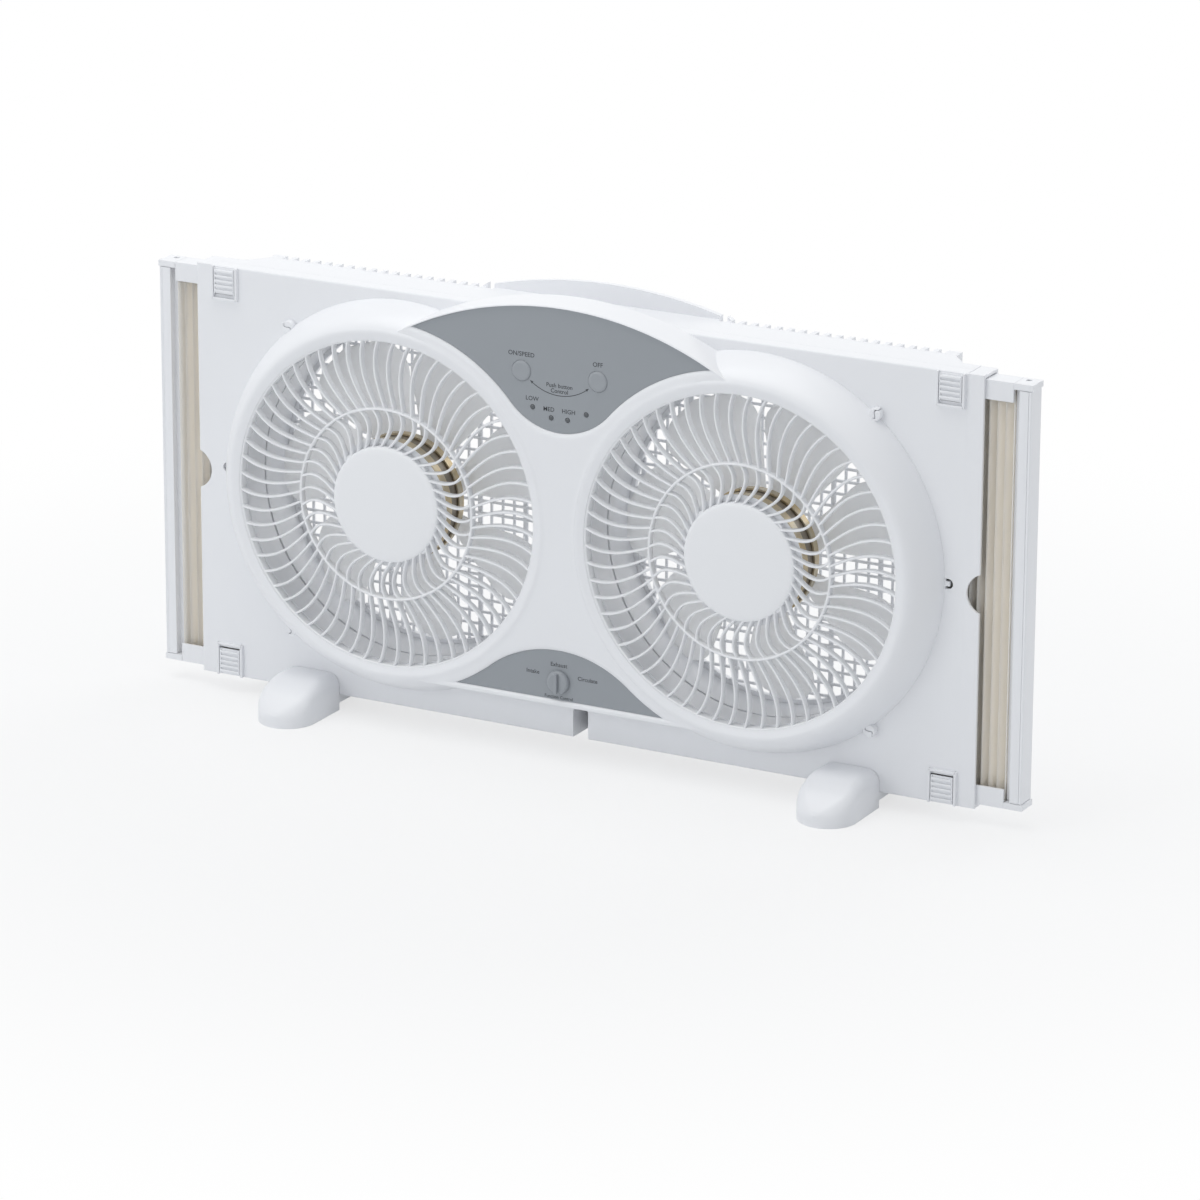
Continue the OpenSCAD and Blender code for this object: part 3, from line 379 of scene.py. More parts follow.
middle_ring = [(ring_radius - 1.05, -28.8), (ring_radius - 1.1, -32.0), (ring_radius - 0.7, -33.0),
               (ring_radius, -33.35), (ring_radius + 0.7, -33.0), (ring_radius + 1.1, -32.0),
               (ring_radius + 1.05, -28.8)]
outer_ring = [(grille_radius, -26.9), (grille_radius, -32.6), (grille_radius - 0.5, -33.2),
              (grille_radius - 1.5, -33.2), (grille_radius - 2.0, -32.6),
              (grille_radius - 2.0, -26.9)]
centre_disc = [(0, -34.6), (10, -34.57), (20, -34.45), (30, -34.16), (35, -33.9), (37.6, -33.65),
               (39.0, -33.3), (39.75, -32.7), (disc_radius, -31.9), (disc_radius, -28.6),
               (38.4, -28.6), (38.4, -31.4), (0, -31.6)]
motor_seat = [(39, -28.5), (43.9, -28.5), (44.2, -28.3), (44.2, -28.1), (44, -27.95), (39, -27.95)]
screw_boss = [(0, -31.9), (4, -31.9), (4, -27.85), (1.7, -27.85), (1.7, -30.6), (0, -30.6)]
boss_circle = 37.5
white_grille = moulded("white_grille", (0.90, 0.91, 0.93), 0.28, 0.36)
for side, x in (("left", -fan_x), ("right", fan_x)):
    work = bmesh.new()
    for k in range(outer_spokes):
        swirl_spoke(work, x, k * 360 / outer_spokes, ring_radius - 0.4, grille_radius - 1.4,
                    outer_swing)
    for k in range(inner_spokes):
        swirl_spoke(work, x, k * 360 / inner_spokes - 3.5, disc_radius - 0.8, ring_radius + 0.3,
                    inner_swing)
    turned(work, ringed(middle_ring), x, axis_z)
    turned(work, ringed(outer_ring), x, axis_z)
    turned(work, centre_disc, x, axis_z)
    turned(work, ringed(motor_seat), x, axis_z)
    for a in (45, 135, 225, 315):
        turned(work, screw_boss, x + boss_circle * math.cos(math.radians(a)),
               axis_z + boss_circle * math.sin(math.radians(a)), 24)
    cast(side + "_swirl_grille", work, white_grille, "body",
         (side + "_front_grille",))


# ---- Front bezel ----
# One white moulding: a flared ring round each fan with a rolled rim, and between them the
# raised middle with an arched top and two pockets for the grey panels. S-shaped clip tabs
# beside the rings hold it to the slab.
def arc(x, z, radius, start, end, steps):
    """Points on a circle in the x, z plane, from one angle to another."""
    made = []
    for k in range(steps + 1):
        a = math.radians(start + (end - start) * k / steps)
        made.append((x + radius * math.cos(a), z + radius * math.sin(a)))
    return made


def round_hole(x, z, radius, steps=24):
    """A whole circle, as the outline of a hole."""
    return arc(x, z, radius, 0, 360 - 360 / steps, steps - 1)


def crossing(x0, z0, r0, x1, z1, r1):
    """The higher of the two points where two circles cross."""
    d = math.hypot(x1 - x0, z1 - z0)
    a = (r0 * r0 - r1 * r1 + d * d) / (2 * d)
    h = math.sqrt(max(0.0, r0 * r0 - a * a))
    ux, uz = (x1 - x0) / d, (z1 - z0) / d
    found = [(x0 + a * ux - s * h * uz, z0 + a * uz + s * h * ux) for s in (1, -1)]
    return max(found, key=lambda p: p[1])


def bearing(x, z, point):
    """The angle at which a point lies from a centre, from 0 to 360."""
    return math.degrees(math.atan2(point[1] - z, point[0] - x)) % 360


def mirrored(half):
    """A closed outline from its right half, which starts and ends on x = 0."""
    left = [(-x, z) for x, z in reversed(half[1:-1])]
    return half + left


arch_z, arch_radius, middle_low = 66.5, 246.0, 40.5
face_y, middle_y, slab_front, wall = -33.0, -34.4, -9.05, 2.4
panel_side = 127.3


def middle_outline(radius, bottom):
    """Outline of the raised middle at one depth. Its sides lie hidden in the two rings."""
    hidden = 120.3
    top = crossing(0, arch_z, radius, fan_x, axis_z, hidden)
    low = max(bottom, axis_z - hidden) + 0.7
    foot = 180 + math.degrees(math.asin((axis_z - low) / hidden))
    corner = fan_x - math.sqrt(max(0.0, hidden ** 2 - (axis_z - bottom) ** 2))
    half = arc(0, arch_z, radius, 90, bearing(0, arch_z, top), 40)
    half += arc(fan_x, axis_z, hidden, bearing(fan_x, axis_z, top), foot, 44)[1:]
    half += [(corner * (1 - k / 12), bottom) for k in range(13)]
    return mirrored(half)


def upper_panel(grow, top_grow):
    """Outline of the upper panel: an arched top, two hollow sides and a round lobe below."""
    radius, hollow = 244.6 + top_grow, panel_side - grow
    lobe, lobe_z = 48.12 + grow, 275.6
    tip = crossing(0, arch_z, radius, fan_x, axis_z, hollow)
    turn = bearing(0, lobe_z, (fan_x, axis_z))
    half = arc(0, arch_z, radius, 90, bearing(0, arch_z, tip), 36)
    half += arc(fan_x, axis_z, hollow, bearing(fan_x, axis_z, tip), turn - 180, 32)[1:]
    half += arc(0, lobe_z, lobe, turn, 270, 20)[1:]
    return mirrored(half)


def lower_panel(grow, low_grow):
    """Outline of the lower panel: a round hump, two hollow sides and a straight bottom edge."""
    hollow, bottom = panel_side - grow, 44.5 - low_grow
    hump, hump_z = 82.6 + grow, -4.1
    turn = bearing(0, hump_z, (fan_x, axis_z))
    tip = fan_x - math.sqrt(hollow ** 2 - (axis_z - bottom) ** 2), bottom
    half = arc(0, hump_z, hump, 90, turn, 24)
    half += arc(fan_x, axis_z, hollow, turn + 180, bearing(fan_x, axis_z, tip), 16)[1:]
    return mirrored(half + [(0, bottom)])


def plate(work, outlines, y0, y1, soft=0.0, steps=2):
    """A flat plate between two depths. Its first outline is the rim, the others are holes."""
    curve = bpy.data.curves.new("outline", "CURVE")
    curve.dimensions = "2D"
    curve.fill_mode = "BOTH"
    curve.extrude = abs(y1 - y0) / 2 - soft
    curve.bevel_depth = soft
    curve.bevel_resolution = steps - 1
    curve.offset = -soft
    for points in outlines:
        spline = curve.splines.new("POLY")
        spline.points.add(len(points) - 1)
        for held, (x, z) in zip(spline.points, points):
            held.co = (x, z, 0, 1)
        spline.use_cyclic_u = True
    holder = bpy.data.objects.new("outline", curve)
    mesh = bpy.data.meshes.new_from_object(holder)
    stood_up = Matrix(((1, 0, 0, 0), (0, 0, -1, (y0 + y1) / 2), (0, 1, 0, 0), (0, 0, 0, 1)))
    mesh.transform(stood_up)
    before = set(work.verts)
    work.from_mesh(mesh)
    fresh = [v for v in work.verts if v not in before]
    bmesh.ops.remove_doubles(work, verts=fresh, dist=0.001)
    bpy.data.objects.remove(holder)
    bpy.data.curves.remove(curve)
    bpy.data.meshes.remove(mesh)


flared_outside = [(135, slab_front), (134.75, -10.6), (134.1, -13), (132.9, -16), (131.2, -20),
                  (129.4, -23.8), (127.6, -27), (125.7, -29.8), (124.0, -31.8), (122.3, -33.4),
                  (120.5, -34.55), (118.75, -35)]
rolled_lip = [(117.0, -34.75), (115.4, -34.2), (114.0, -33.9), (113.2, -33.75), (113.0, -33.5),
              (113.2, -33.3), (114, -33.25), (114, -26.8), (111, -26.8), (111, -25.2),
              (114, -22.2), (114, 0.5)]
ring_inside = [(116.4, 0.5), (116.4, -25.5), (121.1, -27.0), (132.2, -10.5), (132.6, slab_front)]
on_ring, valley_bend, on_middle = (119.6, -34.92), (121.0, -34.45), (123.2, -34.42)
valley = []
for k in range(7):
    t = k / 6
    valley.append([(1 - t) ** 2 * p + 2 * t * (1 - t) * q + t * t * r
                   for p, q, r in zip(on_ring, valley_bend, on_middle)])
valley += [(on_middle[0], -34.0), (on_ring[0], -34.0)]
work = bmesh.new()
for x in (-fan_x, fan_x):
    turned(work, ringed(flared_outside + rolled_lip + ring_inside), x, axis_z, 192)
    facing = 180 if x > 0 else 0
    turned(work, ringed(valley), x, axis_z, 96, facing - 75, facing + 75)
soft_edge = 0.8
rows = []
for k in range(5):
    a = math.radians(k * 22.5)
    inset = soft_edge * (1 - math.sin(a))
    rows.append([(x, middle_y + soft_edge * (1 - math.cos(a)), z)
                 for x, z in middle_outline(arch_radius - inset, middle_low + inset)])
arch_flare, bottom_flare = 1.0, 9.5
for k in range(1, 7):
    t = k / 6
    rows.append([(x, middle_y + soft_edge + (slab_front - middle_y - soft_edge) * t, z)
                 for x, z in middle_outline(arch_radius + arch_flare * t,
                                            middle_low - bottom_flare * t)])
made = loft(work, rows, caps=False)
work.faces.new(list(reversed(made[-1])))
pocket_roll, upper_roll, lower_roll, panel_gap = 4.0, 0.55, 2.0, 0.1
pocket_rims = [upper_panel(pocket_roll, upper_roll), lower_panel(pocket_roll, lower_roll)]
plate(work, [middle_outline(arch_radius - soft_edge, middle_low + soft_edge)] + pocket_rims,
      middle_y, middle_y + 0.3)
for panel, edge_roll in ((upper_panel, upper_roll), (lower_panel, lower_roll)):
    rows = [[(x, -31.0, z) for x, z in panel(panel_gap, panel_gap)]]
    for k in range(9):
        a = math.radians(k * 11.25)
        y = face_y + 0.1 + (middle_y - face_y - 0.1) * math.sin(a)
        side_grow = panel_gap + (pocket_roll - panel_gap) * (1 - math.cos(a))
        edge_grow = panel_gap + (edge_roll - panel_gap) * (1 - math.cos(a))
        rows.append([(x, y, z) for x, z in panel(side_grow, edge_grow)])
    loft(work, rows, caps=False)
buttons = [(-28.2, 266.0, 7.0), (28.2, 266.0, 7.0)]
lenses = [(-19.8, 242.6), (-6.1, 237.0), (6.1, 237.0), (19.8, 242.6)]
dial_z, dial_bore, lens_bore, button_gap = 57, 3.2, 1.8, 0.08
upper_holes = [round_hole(x, z, r + button_gap, 72) for x, z, r in buttons]
upper_holes += [round_hole(x, z, lens_bore) for x, z in lenses]
dial_hole = round_hole(0, dial_z, dial_bore)
pocket_floor = middle_outline(arch_radius - wall, middle_low + wall)
plate(work, [pocket_floor] + upper_holes + [dial_hole], -31.2, -29.8)
board_post = [(0, -29.9), (3.5, -29.9), (3.5, -25.25), (1.2, -25.25), (1.2, -28), (0, -28)]
for x, z in ((44, 278), (19, 252)):
    for s in (-1, 1):
        turned(work, board_post, s * x, z, 24)
clip_angle, clip_circle, clip_front = 51, 136.6, -14.4
curl = [(-3.6 + 0.6 * k, 1.5 * math.sin(math.pi * (k - 6) / 6)) for k in range(13)]
clip_lobe = arc(0, 0, 4.2, 8, 172, 12) + [(u, v + 0.3) for u, v in curl]
for x in (-fan_x, fan_x):
    for a in (clip_angle, -clip_angle):
        turn = math.radians(a if x > 0 else 180 - a)
        clip_x, clip_z = x + clip_circle * math.cos(turn), axis_z + clip_circle * math.sin(turn)
        for half_turn in (0, 180):
            way = turn + math.radians(half_turn)
            tab = [(clip_x + u * math.cos(way) - v * math.sin(way),
                    clip_z + u * math.sin(way) + v * math.cos(way)) for u, v in clip_lobe]
            plate(work, [tab], clip_front, slab_front, 0.55, 3)
cast("front_bezel_moulding", work, white_shell, "body", ("front_bezel",))


# ---- Front housing ----
# The flat front half of the slab in white plastic, a shallow tray with rolled long edges,
# a raised frame at each corner for a latch, and the notch for the cord in its bottom edge.
def block(work, x, y, z, soft=0.4, steps=2):
    """A block between two corners with rounded edges."""
    made = bmesh.ops.create_cube(work, size=1)["verts"]
    for v in made:
        v.co = [low + (high - low) * (c + 0.5) for c, (low, high) in zip(v.co, (x, y, z))]
    if soft:
        edges = list(dict.fromkeys(e for v in made for e in v.link_edges))
        bmesh.ops.bevel(work, geom=edges, offset=soft, segments=steps, profile=0.5,
                        affect="EDGES", clamp_overlap=True)


def drawn(work, profile, x0, x1):
    """A (y, z) profile drawn out along x."""
    loft(work, [[(x0, y, z) for y, z in profile], [(x1, y, z) for y, z in profile]])


slab_x, base_z, top_z = 279.3, 11.0, 300.0
slab_y0, seam_y, slab_y1 = -9.0, 1.5, 12.0
notch_x0, notch_x1, notch_z = -2.25, 9.05, 31.0
latch_at = [(s * 268.5, up) for s in (-1, 1) for up in (1, -1)]


def heights(low, high, up):
    """Two heights at a top latch, or the same two mirrored for a bottom one."""
    return (low, high) if up > 0 else (base_z + top_z - high, base_z + top_z - low)


work = bmesh.new()
edge_strip, edge_radius, seam_soft = 3.0, 1.2, 0.25
roll = [(slab_y0 + edge_radius - edge_radius * math.sin(math.radians(a)),
         top_z - edge_radius + edge_radius * math.cos(math.radians(a)))
        for a in (0, 22.5, 45, 67.5, 90)]
long_edge = [(seam_y - seam_soft, top_z)] + roll
long_edge += [(slab_y0, top_z - edge_strip), (slab_y0 + wall, top_z - edge_strip),
              (slab_y0 + wall, top_z - wall), (seam_y, top_z - wall), (seam_y, top_z - seam_soft)]
drawn(work, long_edge, -slab_x, slab_x)
low_edge = [(y, base_z + top_z - z) for y, z in long_edge]
drawn(work, low_edge, -slab_x, notch_x0)
drawn(work, low_edge, notch_x1, slab_x)
sheet_low, sheet_high = base_z + edge_strip, top_z - edge_strip
sheet = [(-slab_x, sheet_low), (notch_x0, sheet_low), (notch_x0, notch_z - 1),
         (notch_x0 + 1, notch_z), (notch_x1 - 1, notch_z), (notch_x1, notch_z - 1),
         (notch_x1, sheet_low), (slab_x, sheet_low), (slab_x, sheet_high), (-slab_x, sheet_high)]
holes = [round_hole(x, axis_z, 120.4, 90) for x in (-fan_x, fan_x)]
well_half, well_rim, well_front, well_low = 8.3, 10.0, -11.6, 276.6
for x, up in latch_at:
    low, high = heights(280.2, 296.4, up)
    holes.append([(x - well_half, low), (x + well_half, low), (x + well_half, high),
                  (x - well_half, high)])
slot_out, slot_radius, tongue_half = 137.6, 3.4, 1.6
slot_round = arc(0, 0, slot_radius, -80, 80, 10)
slot_shape = [(-2, -slot_radius), (-0.5, -slot_radius)] + slot_round
slot_shape += [(-0.5, slot_radius), (-2, slot_radius), (-2, tongue_half), (1.0, tongue_half),
               (1.0, -tongue_half), (-2, -tongue_half)]
for s in (-1, 1):
    slot_x = s * (fan_x + slot_out)
    holes.append([(slot_x + s * u, axis_z + v) for u, v in slot_shape])
plate(work, [sheet] + holes, slab_y0, slab_y0 + wall)
notch_y = (slab_y0 + 0.5, seam_y - 0.1)
for x0, x1 in ((notch_x0 - wall, notch_x0 - 0.1), (notch_x1 + 0.1, notch_x1 + wall)):
    block(work, (x0, x1), notch_y, (base_z + 0.1, notch_z + 0.1), 0)
block(work, (notch_x0 - wall, notch_x1 + wall), notch_y, (notch_z + 0.1, notch_z + wall), 0)
for x, up in latch_at:
    frame_y, frame_z = (well_front, slab_y0 + 1.6), heights(well_low, top_z - 0.2, up)
    block(work, (x - well_rim, x - well_half), frame_y, frame_z, 0.5)
    block(work, (x + well_half, x + well_rim), frame_y, frame_z, 0.5)
    block(work, (x - 9.6, x + 9.6), frame_y, heights(well_low, well_low + 1.8, up), 0.5)
    block(work, (x - 9.2, x + 9.2), (-9.3, slab_y0 + 1), heights(296.2, top_z - 0.5, up), 0.1)
cast("front_slab", work, white_shell, "body", ("front_housing",))


# ---- End frames ----
# A white cap over each end of the slab, open between the two rails for the curtain, with a
# round notch in its front for the finger that pulls the side out.
body_x = 291.0
finger_out, finger_z, finger_radius = 4.9, 155.5, 13.9


def side_span(s, low, high):
    """A stretch of x on the right side of the fan, or the same one on the left."""
    return tuple(sorted((s * low, s * high)))


finger_half = math.degrees(math.acos(finger_out / finger_radius))
cap_low, cap_high = base_z + 0.08, top_z - 0.08
front_lip = [(slab_x - 0.45, cap_low), (body_x, cap_low)]
front_lip += arc(body_x + finger_out, finger_z, finger_radius, 180 + finger_half,
                 180 - finger_half, 24)
front_lip += [(body_x, cap_high), (slab_x - 0.45, cap_high)]
back_lip = [(slab_x + 0.1, cap_low), (body_x, cap_low), (body_x, cap_high),
            (slab_x + 0.1, cap_high)]
tongue_z = (base_z + 49, top_z - 50)
for side, s in (("left", -1), ("right", 1)):
    work = bmesh.new()
    plate(work, [[(s * x, z) for x, z in front_lip]], slab_y0 + 0.01, slab_y0 + wall, 0.6, 3)
    plate(work, [[(s * x, z) for x, z in back_lip]], slab_y1 - wall, slab_y1, 0.7)
    ends, deep = side_span(s, slab_x + 0.1, body_x - 0.08), (slab_y0 + 0.2, slab_y1 - 0.2)
    block(work, ends, deep, (top_z - wall, top_z), 0.6)
    block(work, ends, deep, (base_z, base_z + wall), 0.6)
    tongue = side_span(s, slab_x - 8, slab_x + 1)
    block(work, tongue, (slab_y0 + wall + 0.1, slab_y0 + wall + 1.2), tongue_z, 0.2)
    block(work, tongue, (slab_y1 - wall - 1.2, slab_y1 - wall - 0.1), tongue_z, 0.2)
    cast(side + "_end_cap", work, white_shell, "body", (side + "_end_frame",))


# ---- Rails and stiles ----
# Each side is a white stile on two channel rails that slide in the slab. A thin groove runs
# down the stile's front, and a cap with a screw hole closes each of its ends.
rail_start, rail_wall, stile_x = 95, 1.8, 310.0
outer, edge = stile_x + 4.0, stile_x + 12.4
rail_y0, rail_y1, rail_low, rail_high = -6.3, 9.3, 13.8, 297.2
top_rail = ((284.2, rail_high), (295.4, rail_high - 0.06))
bottom_rail = ((rail_low, 26.8), (rail_low + 0.06, 15.6))
cap_thick, cap_inner, cap_outer, cap_back = 4.4, stile_x + 0.1, edge + 0.8, rail_y1 + 0.4
tall = (rail_low + 4.6, rail_high - 4.6)
stile_walls = [((stile_x - 0.01, outer + 1), (-1.3, rail_y1 - 0.2), 0.5),
               ((outer, outer + 6.4), (rail_y0, rail_y0 + 2), 0.5),
               ((outer + 7.4, edge - 0.1), (rail_y0, rail_y0 + 2), 0.35),
               ((outer + 0.4, edge - 0.4), (rail_y0 + 1.2, rail_y0 + 2.2), 0.1),
               ((edge - 2, edge), (rail_y0 + 0.2, rail_y1 - 0.1), 0.4),
               ((outer + 0.1, outer + 2), (rail_y0 + 0.6, rail_y1 - 0.1), 0.4),
               ((outer + 0.2, edge - 0.1), (rail_y1 - 2, rail_y1), 0.4)]
for side, s in (("left", -1), ("right", 1)):
    work = bmesh.new()
    rail = side_span(s, rail_start, stile_x)
    for flanges, web in (top_rail, bottom_rail):
        block(work, rail, (rail_y0, rail_y0 + rail_wall), flanges, 0.35)
        block(work, rail, (rail_y1 - rail_wall, rail_y1), flanges, 0.35)
        block(work, rail, (rail_y0 + 0.2, rail_y1 - 0.2), web, 0.35)
    for (low, high), deep, soft in stile_walls:
        block(work, side_span(s, low, high), deep, tall, soft)
    cast(side + "_stile_and_rails", work, white_shell, side + "_side",
         (side + "_expander",))
    work = bmesh.new()
    rim = [(s * cap_inner, rail_y0), (s * cap_outer, rail_y0), (s * cap_outer, cap_back),
           (s * cap_inner, cap_back)]
    screw_hole = round_hole(s * (outer + 1.5), rail_y1 - 4.5, 1.9, 36)
    for z0, z1 in ((rail_high - cap_thick, rail_high), (rail_low, rail_low + cap_thick)):
        upright_cap = bmesh.new()
        plate(upright_cap, [rim, screw_hole], z0, z1, 0.5)
        for v in upright_cap.verts:
            v.co = (v.co.x, v.co.z, v.co.y)
        laid_cap = bpy.data.meshes.new("cap")
        upright_cap.to_mesh(laid_cap)
        upright_cap.free()
        work.from_mesh(laid_cap)
        bpy.data.meshes.remove(laid_cap)
    cast(side + "_end_caps", work, white_shell, side + "_side",
         (side + "_stile_caps",))


# ---- Side curtains ----
# A pleated sheet of cream vinyl between the slab and each stile. It lies in the rails and is
# fixed in the slab at one end and to the stile at the other.
cream = moulded("cream_vinyl_sheet", (0.985, 0.925, 0.83), 0.42, 0.58, 0.12, 0.03,
                Subsurface_Weight=0.8, Subsurface_Scale=0.004, Subsurface_Radius=(1, 0.97, 0.9))
curtain_x0, curtain_x1, curtain_y = 252.5, 309.8, 1.5
pleats, pleat_reach, half_sheet = 10, 4.9, 0.25
leaves, leaf_steps = 2 * pleats, 8
leaf = (curtain_x1 - curtain_x0) / leaves
centre = []
for k in range(leaves * leaf_steps + 1):
    u = k / leaf_steps
    flat_leaf = 1 - 2 * abs((u % 2) - 1)
    round_leaf = math.copysign(abs(math.sin(flat_leaf * math.pi / 2)) ** 0.75, flat_leaf)
    across = 0.35 * round_leaf + 0.65 * flat_leaf
    centre.append(Vector((curtain_x0 + leaf * u, curtain_y + pleat_reach * across)))
two_faces = []
for sign in (1, -1):
    face_line = []
    for k, p in enumerate(centre):
        run = (centre[min(k + 1, len(centre) - 1)] - centre[max(k - 1, 0)]).normalized()
        face_line.append((p.x - sign * run.y * half_sheet, p.y + sign * run.x * half_sheet))
    two_faces += face_line if sign > 0 else list(reversed(face_line))
for side, s in (("left", -1), ("right", 1)):
    work = bmesh.new()
    loft(work, [[(s * x, y, z) for x, y in two_faces] for z in (16.0, 85.0, 155.0, 225.0, 295.0)])
    curtain = cast(side + "_pleated_curtain", work, cream, None,
                   (side + "_curtain",), 50, False)
    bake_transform(curtain)


# ---- Latches ----
# Four small white sliders that lock the rails. Five ribs give the finger a grip, and a stem
# reaches through the slab's wall.
slider_half, slider_low, slider_high = 7.8, 280.8, 298.8
rib_pitch, rib_height = 3.4, 1.8
for (x, up), name in zip(latch_at, ("top_left", "bottom_left", "top_right", "bottom_right")):
    work = bmesh.new()
    full = heights(slider_low, slider_high, up)
    block(work, (x - slider_half, x + slider_half), (-10.4, -9.35), full, 0.3)
    for k in range(5):
        rib = slider_low + 1.3 + k * rib_pitch
        block(work, (x - 7.2, x + 7.2), (-11.9, -10.2), heights(rib, rib + rib_height, up), 0.5)
    block(work, (x - slider_half, x - 6.9), (-11.4, -10.0), full, 0.3)
    block(work, (x + 6.9, x + slider_half), (-11.4, -10.0), full, 0.3)
    block(work, (x - 3, x + 3), (-9.7, -6.6), heights(287.3, 292.3, up), 0.2)
    cast(name + "_slider", work, white_shell, name + "_latch", (name + "_latch",))


# ---- Fan blades ----
# Seven broad blades and their hub, moulded in one in pale translucent plastic and held on
# the motor shaft by a nut.
hub_radius, tip_radius, blade_thick = 21.0, 106.0, 1.8
blade_y, blade_count, blade_half_angle = 13.7, 7, 22.4
root_pitch, tip_pitch = 31, 19


def blade_edge(radius):
    """Half of a blade's width at a radius, in degrees. Its tip rounds off from 62% outward."""
    t = (radius - hub_radius) / (tip_radius - hub_radius)
    fall = math.sqrt(max(0.0004, 1 - max(0, (t - 0.62) / 0.38) ** 2.6))
    return blade_half_angle * fall * (0.80 + 0.20 * math.sin(math.radians(90 * t)))


def blade_point(radius, c, lift):
    """A point on a blade: c runs from -1 to 1 across it, lift is its height over the middle."""
    t = (radius - hub_radius) / (tip_radius - hub_radius)
    pitch = math.radians(root_pitch + (tip_pitch - root_pitch) * t)
    width = math.radians(blade_edge(radius)) * radius
    camber = 0.055 * 2 * width * (1 - c * c)
    y = -c * width * math.sin(pitch) + camber + lift
    a = c * width * math.cos(pitch) / radius + math.radians(6 * t)
    return radius * math.cos(a), y, radius * math.sin(a)


def blade_section(radius):
    """The closed section of a blade at a radius, thinner towards its two round edges."""
    round_edge = 1.006
    cuts = [-1 + 2 * j / 12 for j in range(13)]
    half = [blade_thick / 2 * (1 - 0.62 * c * c) for c in cuts]
    ring = [blade_point(radius, c, -h) for c, h in zip(cuts, half)]
    ring.append(blade_point(radius, round_edge, 0.0))
    ring += [blade_point(radius, c, h) for c, h in zip(reversed(cuts), reversed(half))]
    ring.append(blade_point(radius, -round_edge, 0.0))
    return ring


pale_blade = moulded("pale_blade", (0.95, 0.962, 0.97), 0.34, 0.42, 0.03, 0.02,
                     Subsurface_Weight=0.6, Subsurface_Scale=0.006, Subsurface_Radius=(1, 1, 1))
bore, root_depth = 3.02, 2
hub = [(bore, 1.8), (19, 1.8), (20.4, 2.4), (hub_radius, 3.8), (hub_radius, 23.6), (20.4, 25.0),
       (19, 25.6), (9, 25.6), (8.4, 25.0), (8.4, 24.2), (7.4, 24.0), (bore, 24.0)]
sections = []
for k in range(19):
    out = (tip_radius - hub_radius + root_depth) * (k / 18) ** 0.72
    sections.append(blade_section(hub_radius - root_depth + out))
for side, x in (("left", -fan_x), ("right", fan_x)):
    work = bmesh.new()
    turned(work, ringed(hub), x, axis_z, 64)
    for number in range(blade_count):
        turn = math.radians(number * 360 / blade_count + 14)
        loft(work, [[(x + px * math.cos(turn) - pz * math.sin(turn), blade_y + py,
                      axis_z + px * math.sin(turn) + pz * math.cos(turn)) for px, py, pz in ring]
                    for ring in sections])
    cast(side + "_fan", work, pale_blade, side + "_fan",
         (side + "_fan_blades",), 50, False)


# ---- Rear grille ----
# The white cover of the box behind the slab: two round lattices of square bars, a low arch
# on top, and a comb of slots along its top edge. Eight screws hold it.
box_x, tray_y, cover_y, back_y, open_radius = 255.3, 25.2, 31.0, 35.0, 111.0
pitch, slot_wide, slot_deep, slot_count = 8.7, 5.22, 3.4, 19
comb = [(84.0 + pitch * k, 84.0 + pitch * k + slot_wide) for k in range(slot_count)]
comb_start = comb[0][0]
rise_half, rise = 93, 13
rise_radius = (rise_half ** 2 + rise ** 2) / (2 * rise)
rise_z = top_z + rise - rise_radius
rise_end = bearing(0, rise_z, (rise_half, top_z))
flat_from = 90
half = [p for p in arc(0, rise_z, rise_radius, 90, rise_end, 24) if p[0] < comb_start - 0.5]
for x0, x1 in comb:
    tall = top_z if x0 > flat_from else rise_z + math.sqrt(rise_radius ** 2 - x0 ** 2)
    half += [(x0, tall), (x0, top_z - slot_deep), (x1, top_z - slot_deep), (x1, tall)]
half += [(box_x, top_z), (box_x, base_z), (0, base_z)]
screw_spots = [(s * x, z) for s in (-1, 1) for x in (243.3, 14) for z in (24, 287)]
screw_well = [(3.3, 32.6), (4.5, 32.6), (4.5, 26.0), (1.8, 26.0), (1.8, 31.4), (3.3, 31.4)]
work = bmesh.new()
holes = [round_hole(x, axis_z, open_radius, 120) for x in (-fan_x, fan_x)]
holes += [round_hole(x, z, 3.3) for x, z in screw_spots]
plate(work, [mirrored(half)] + holes, cover_y, back_y)
for x, z in screw_spots:
    turned(work, ringed(screw_well), x, z, 32)
box_width = (0.1 - box_x, box_x - 0.1)
block(work, box_width, (tray_y, 27.5), (top_z - wall, top_z), 0.3)
next_slots = [x0 for x0, x1 in comb[1:]] + [box_x - 0.1]
teeth = [(-comb_start, comb_start)]
for s in (-1, 1):
    teeth += [side_span(s, x1, following) for (x0, x1), following in zip(comb, next_slots)]
for tooth in teeth:
    block(work, tooth, (27.45, 31.2), (top_z - wall, top_z - 0.05), 0.25)
for s in (-1, 1):
    strip = side_span(s, comb_start - 2, box_x - 1)
    block(work, strip, (27.3, 31.1), (top_z - wall, top_z - wall + 1), 0)
block(work, box_width, (tray_y, 31.2), (base_z, base_z + wall), 0.3)
for s in (-1, 1):
    end_wall = side_span(s, box_x - wall, box_x)
    block(work, end_wall, (tray_y + 0.05, 31.25), (base_z + 0.05, top_z - 0.1), 0.3)
for x in (-fan_x, fan_x):
    for k in range(-12, 13):
        off = pitch * k
        reach_out = math.sqrt(open_radius ** 2 - off ** 2) + 1
        thick = 3.4 if k % 4 == 0 else 1.8
        block(work, (x + off - thick / 2, x + off + thick / 2), (33.0, back_y),
              (axis_z - reach_out, axis_z + reach_out), 0.45, 1)
        block(work, (x - reach_out, x + reach_out), (cover_y, 32.9),
              (axis_z + off - 0.9, axis_z + off + 0.9), 0.4, 1)
cast("rear_lattice_cover", work, white_shell, "body", ("rear_grille",))


